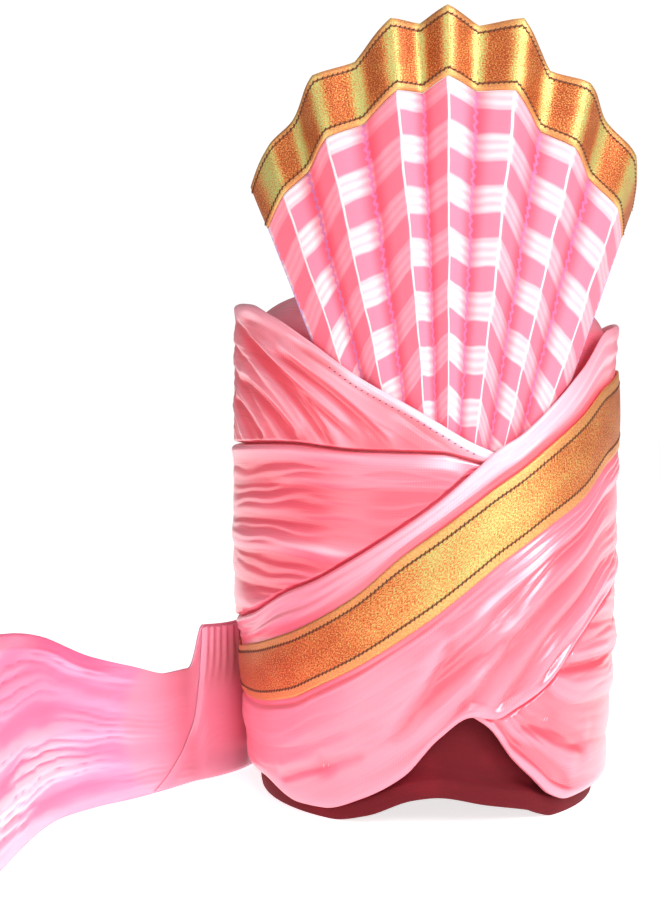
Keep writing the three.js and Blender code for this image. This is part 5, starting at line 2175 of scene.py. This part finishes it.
@dataclass(frozen=True)
class Softbox:
    """One soft lamp."""

    name: str
    place: Spot
    size: Place
    power: float
    colour: Spot = (1.0, 0.98, 0.98)

    def build(self, aim: Vector) -> None:
        """Hangs the lamp, turned towards a place.

        Args:
            aim: the place that it lights.
        """
        data = bpy.data.lights.new(self.name, "AREA")
        data.shape = "RECTANGLE"
        data.size, data.size_y = self.size
        data.energy = self.power
        data.color = self.colour
        light = linked(self.name, data)
        light.location = self.place
        light.rotation_euler = (aim - Vector(self.place)).to_track_quat("-Z", "Y").to_euler()


SOFTBOXES = (
    Softbox("key_right", (0.95, -1.0, 0.9), (0.42, 0.8), 15.5, (1.0, 0.97, 1.0)),
    Softbox("strip", (0.2, -1.4, 0.95), (0.14, 0.5), 2.6, (1.0, 0.98, 1.0)),
    Softbox("top", (0.1, 0.0, 1.5), (1.2, 1.2), 4.6, (1.0, 1.0, 1.0)),
    Softbox("front", (-0.6, -1.7, 0.8), (1.2, 0.9), 2.4),
    Softbox("fill_left", (-1.3, -1.0, 0.6), (0.9, 1.1), 5.0),
)


@dataclass(frozen=True)
class Studio:
    """Pale floor, soft light and the camera at the photograph's angle."""

    camera_place: Spot = (-0.0528, -0.9, 0.215)
    camera_dip: float = 2.09  # how far it looks down, in degrees
    focal_pixels: float = 1636.0  # focal length in pixels of the image
    image_height: float = 900.0  # long side of the image in pixels
    sensor: float = 36.0  # long side of the sensor in millimetres
    clip: Place = (0.01, 50.0)
    floor_half: float = 6.0
    floor_light: float = 0.76  # how much the floor glows of itself
    ground_light: float = 1.05  # brightness of the ground behind the object
    world_light: float = 0.18  # strength of the light from the left and from behind
    world_swing: float = 0.26  # how much stronger it is from the front right
    bright_side: Spot = (0.62, -0.72, 0.3)  # direction of the stronger light
    aim: Spot = (0.0, 0.0, 0.19)

    def build_camera(self) -> None:
        """Places the camera and makes it the scene's own."""
        data = bpy.data.cameras.new("camera")
        data.sensor_width = self.sensor
        data.lens = self.focal_pixels / self.image_height * self.sensor
        data.clip_start, data.clip_end = self.clip
        camera = linked("camera", data)
        camera.location = self.camera_place
        camera.rotation_euler = (math.radians(90 - self.camera_dip), 0, 0)
        bpy.context.scene.camera = camera

    def build_floor(self) -> None:
        """Lays the pale floor."""
        half = self.floor_half
        mesh = bpy.data.meshes.new("floor")
        corners = [(-half, -half, 0), (half, -half, 0), (half, half, 0), (-half, half, 0)]
        mesh.from_pydata(corners, [], [(0, 1, 2, 3)])
        floor = linked("floor", mesh)
        finish = Finish("pale_floor")
        finish.put({
            "Base Color": srgb(245, 240, 240),
            "Roughness": 0.9,
            "Specular IOR Level": 0.1,
            "Emission Color": (1.0, 0.99, 0.99, 1.0),
            "Emission Strength": self.floor_light,
        })
        mesh.materials.append(finish.material)

    def build_world(self) -> None:
        """Soft light, stronger from the front right, and a white ground behind the object."""
        world = bpy.data.worlds.new("white_studio")
        world.use_nodes = True
        bench = Bench(world.node_tree)
        ground = world.node_tree.nodes["Background"].inputs
        ways = {0: bench.add("ShaderNodeTexCoord").outputs["Generated"], 1: self.bright_side}
        facing = bench.add("ShaderNodeVectorMath", ways, operation="DOT_PRODUCT").outputs["Value"]
        light = bench.line(bench.ease(facing, -0.3, 0.95), self.world_swing, self.world_light)
        ray = bench.add("ShaderNodeLightPath").outputs["Is Camera Ray"]
        bench.feed(ground["Color"], (1.0, 0.985, 0.99, 1.0))
        bench.feed(ground["Strength"], bench.math("MAXIMUM", light, bench.times(ray, self.ground_light)))
        bpy.context.scene.world = world

    def build(self) -> None:
        """Builds the whole studio."""
        self.build_camera()
        self.build_floor()
        self.build_world()
        for softbox in SOFTBOXES:
            softbox.build(Vector(self.aim))
        view = bpy.context.scene.view_settings
        view.view_transform = "Standard"
        view.look = "None"
        view.exposure = 0.0


def main() -> None:
    """Builds the pagri piece by piece, then the studio."""
    logging.basicConfig(level=logging.INFO, format="%(message)s")
    groups = ClothGroups()
    satin = Satin("pink_satin").material(groups)
    # A lavender copy of the pink satin for the tail: painted sheen of its lit cloth.
    sheen_tail_satin = Satin("sheen_tail_satin", crest=srgb(248, 164, 200), cloth=srgb(246, 138, 180),
                       crease=srgb(238, 104, 148), roughness=0.36).material(groups)
    # A deeper, more saturated copy of the pink satin for the upper wrap: painted shade.
    shaded_coral = Satin("shaded_coral_satin", crest=srgb(250, 140, 156), cloth=srgb(248, 114, 130),
                  crease=srgb(244, 82, 98)).material(groups)
    Cap("lining_cap", "maroon_lining", "stretched").build(Lining("maroon_lining").material(groups))
    Crown("crown", "pink_cloth", "stretched").build(satin)
    UpperWrap("upper_wrap", "pink_cloth", "folded", pleats=Pleats(pitch=0.0175, seed=11),
              creases=UPPER_CREASES, spacing=UPPER_SPACING).build(shaded_coral, ["crown"])
    MiddleWrap("middle_wrap", "pink_cloth", "folded",
               pleats=Pleats(pitch=0.0178, depth=0.004, flat=0.6, seed=16)).build(satin, ["crown"])
    lower = LowerWrap("lower_wrap", "pink_cloth", "folded", first=7.5, last=210.0, free=Edge.HEM,
                      pleats=Pleats(pitch=0.021, depth=0.0024, ridge=0.34, seed=21), creases=LOWER_CREASES,
                      dimples=(LOWER_DIMPLE,)).build(satin, ["crown"])
    cross = CrossWrap("cross_wrap", "pink_cloth", "folded", creases=CROSS_CREASES, dimples=(CROSS_DIMPLE,),
                      pleats=Pleats(pitch=0.0195, drift=0.16, flat=0.8, seed=26)).build(satin)
    band = GoldBand("gold_band", "gold_border", "stretched")
    band.build(Zari("band_zari", inset=BAND_INSET).material(groups))
    fan = Fan()
    check = CheckCloth("fan_check").material(groups)
    fan.build(check, Zari("border_zari", inset=BORDER_INSET).material(groups))
    tail = Tail("tail", "tail_cloth", "laid").build(sheen_tail_satin)
    tacks = (
        Tack(lower, *LOWER_DIMPLE.approach()),
        Tack(cross, *CROSS_DIMPLE.approach()),
        Tack(tail, TAIL_TACK_START, TAIL_TACK_WAY),
    )
    Seams().build(band, fan, tacks)
    Studio().build()


if __name__ == "__main__":
    main()
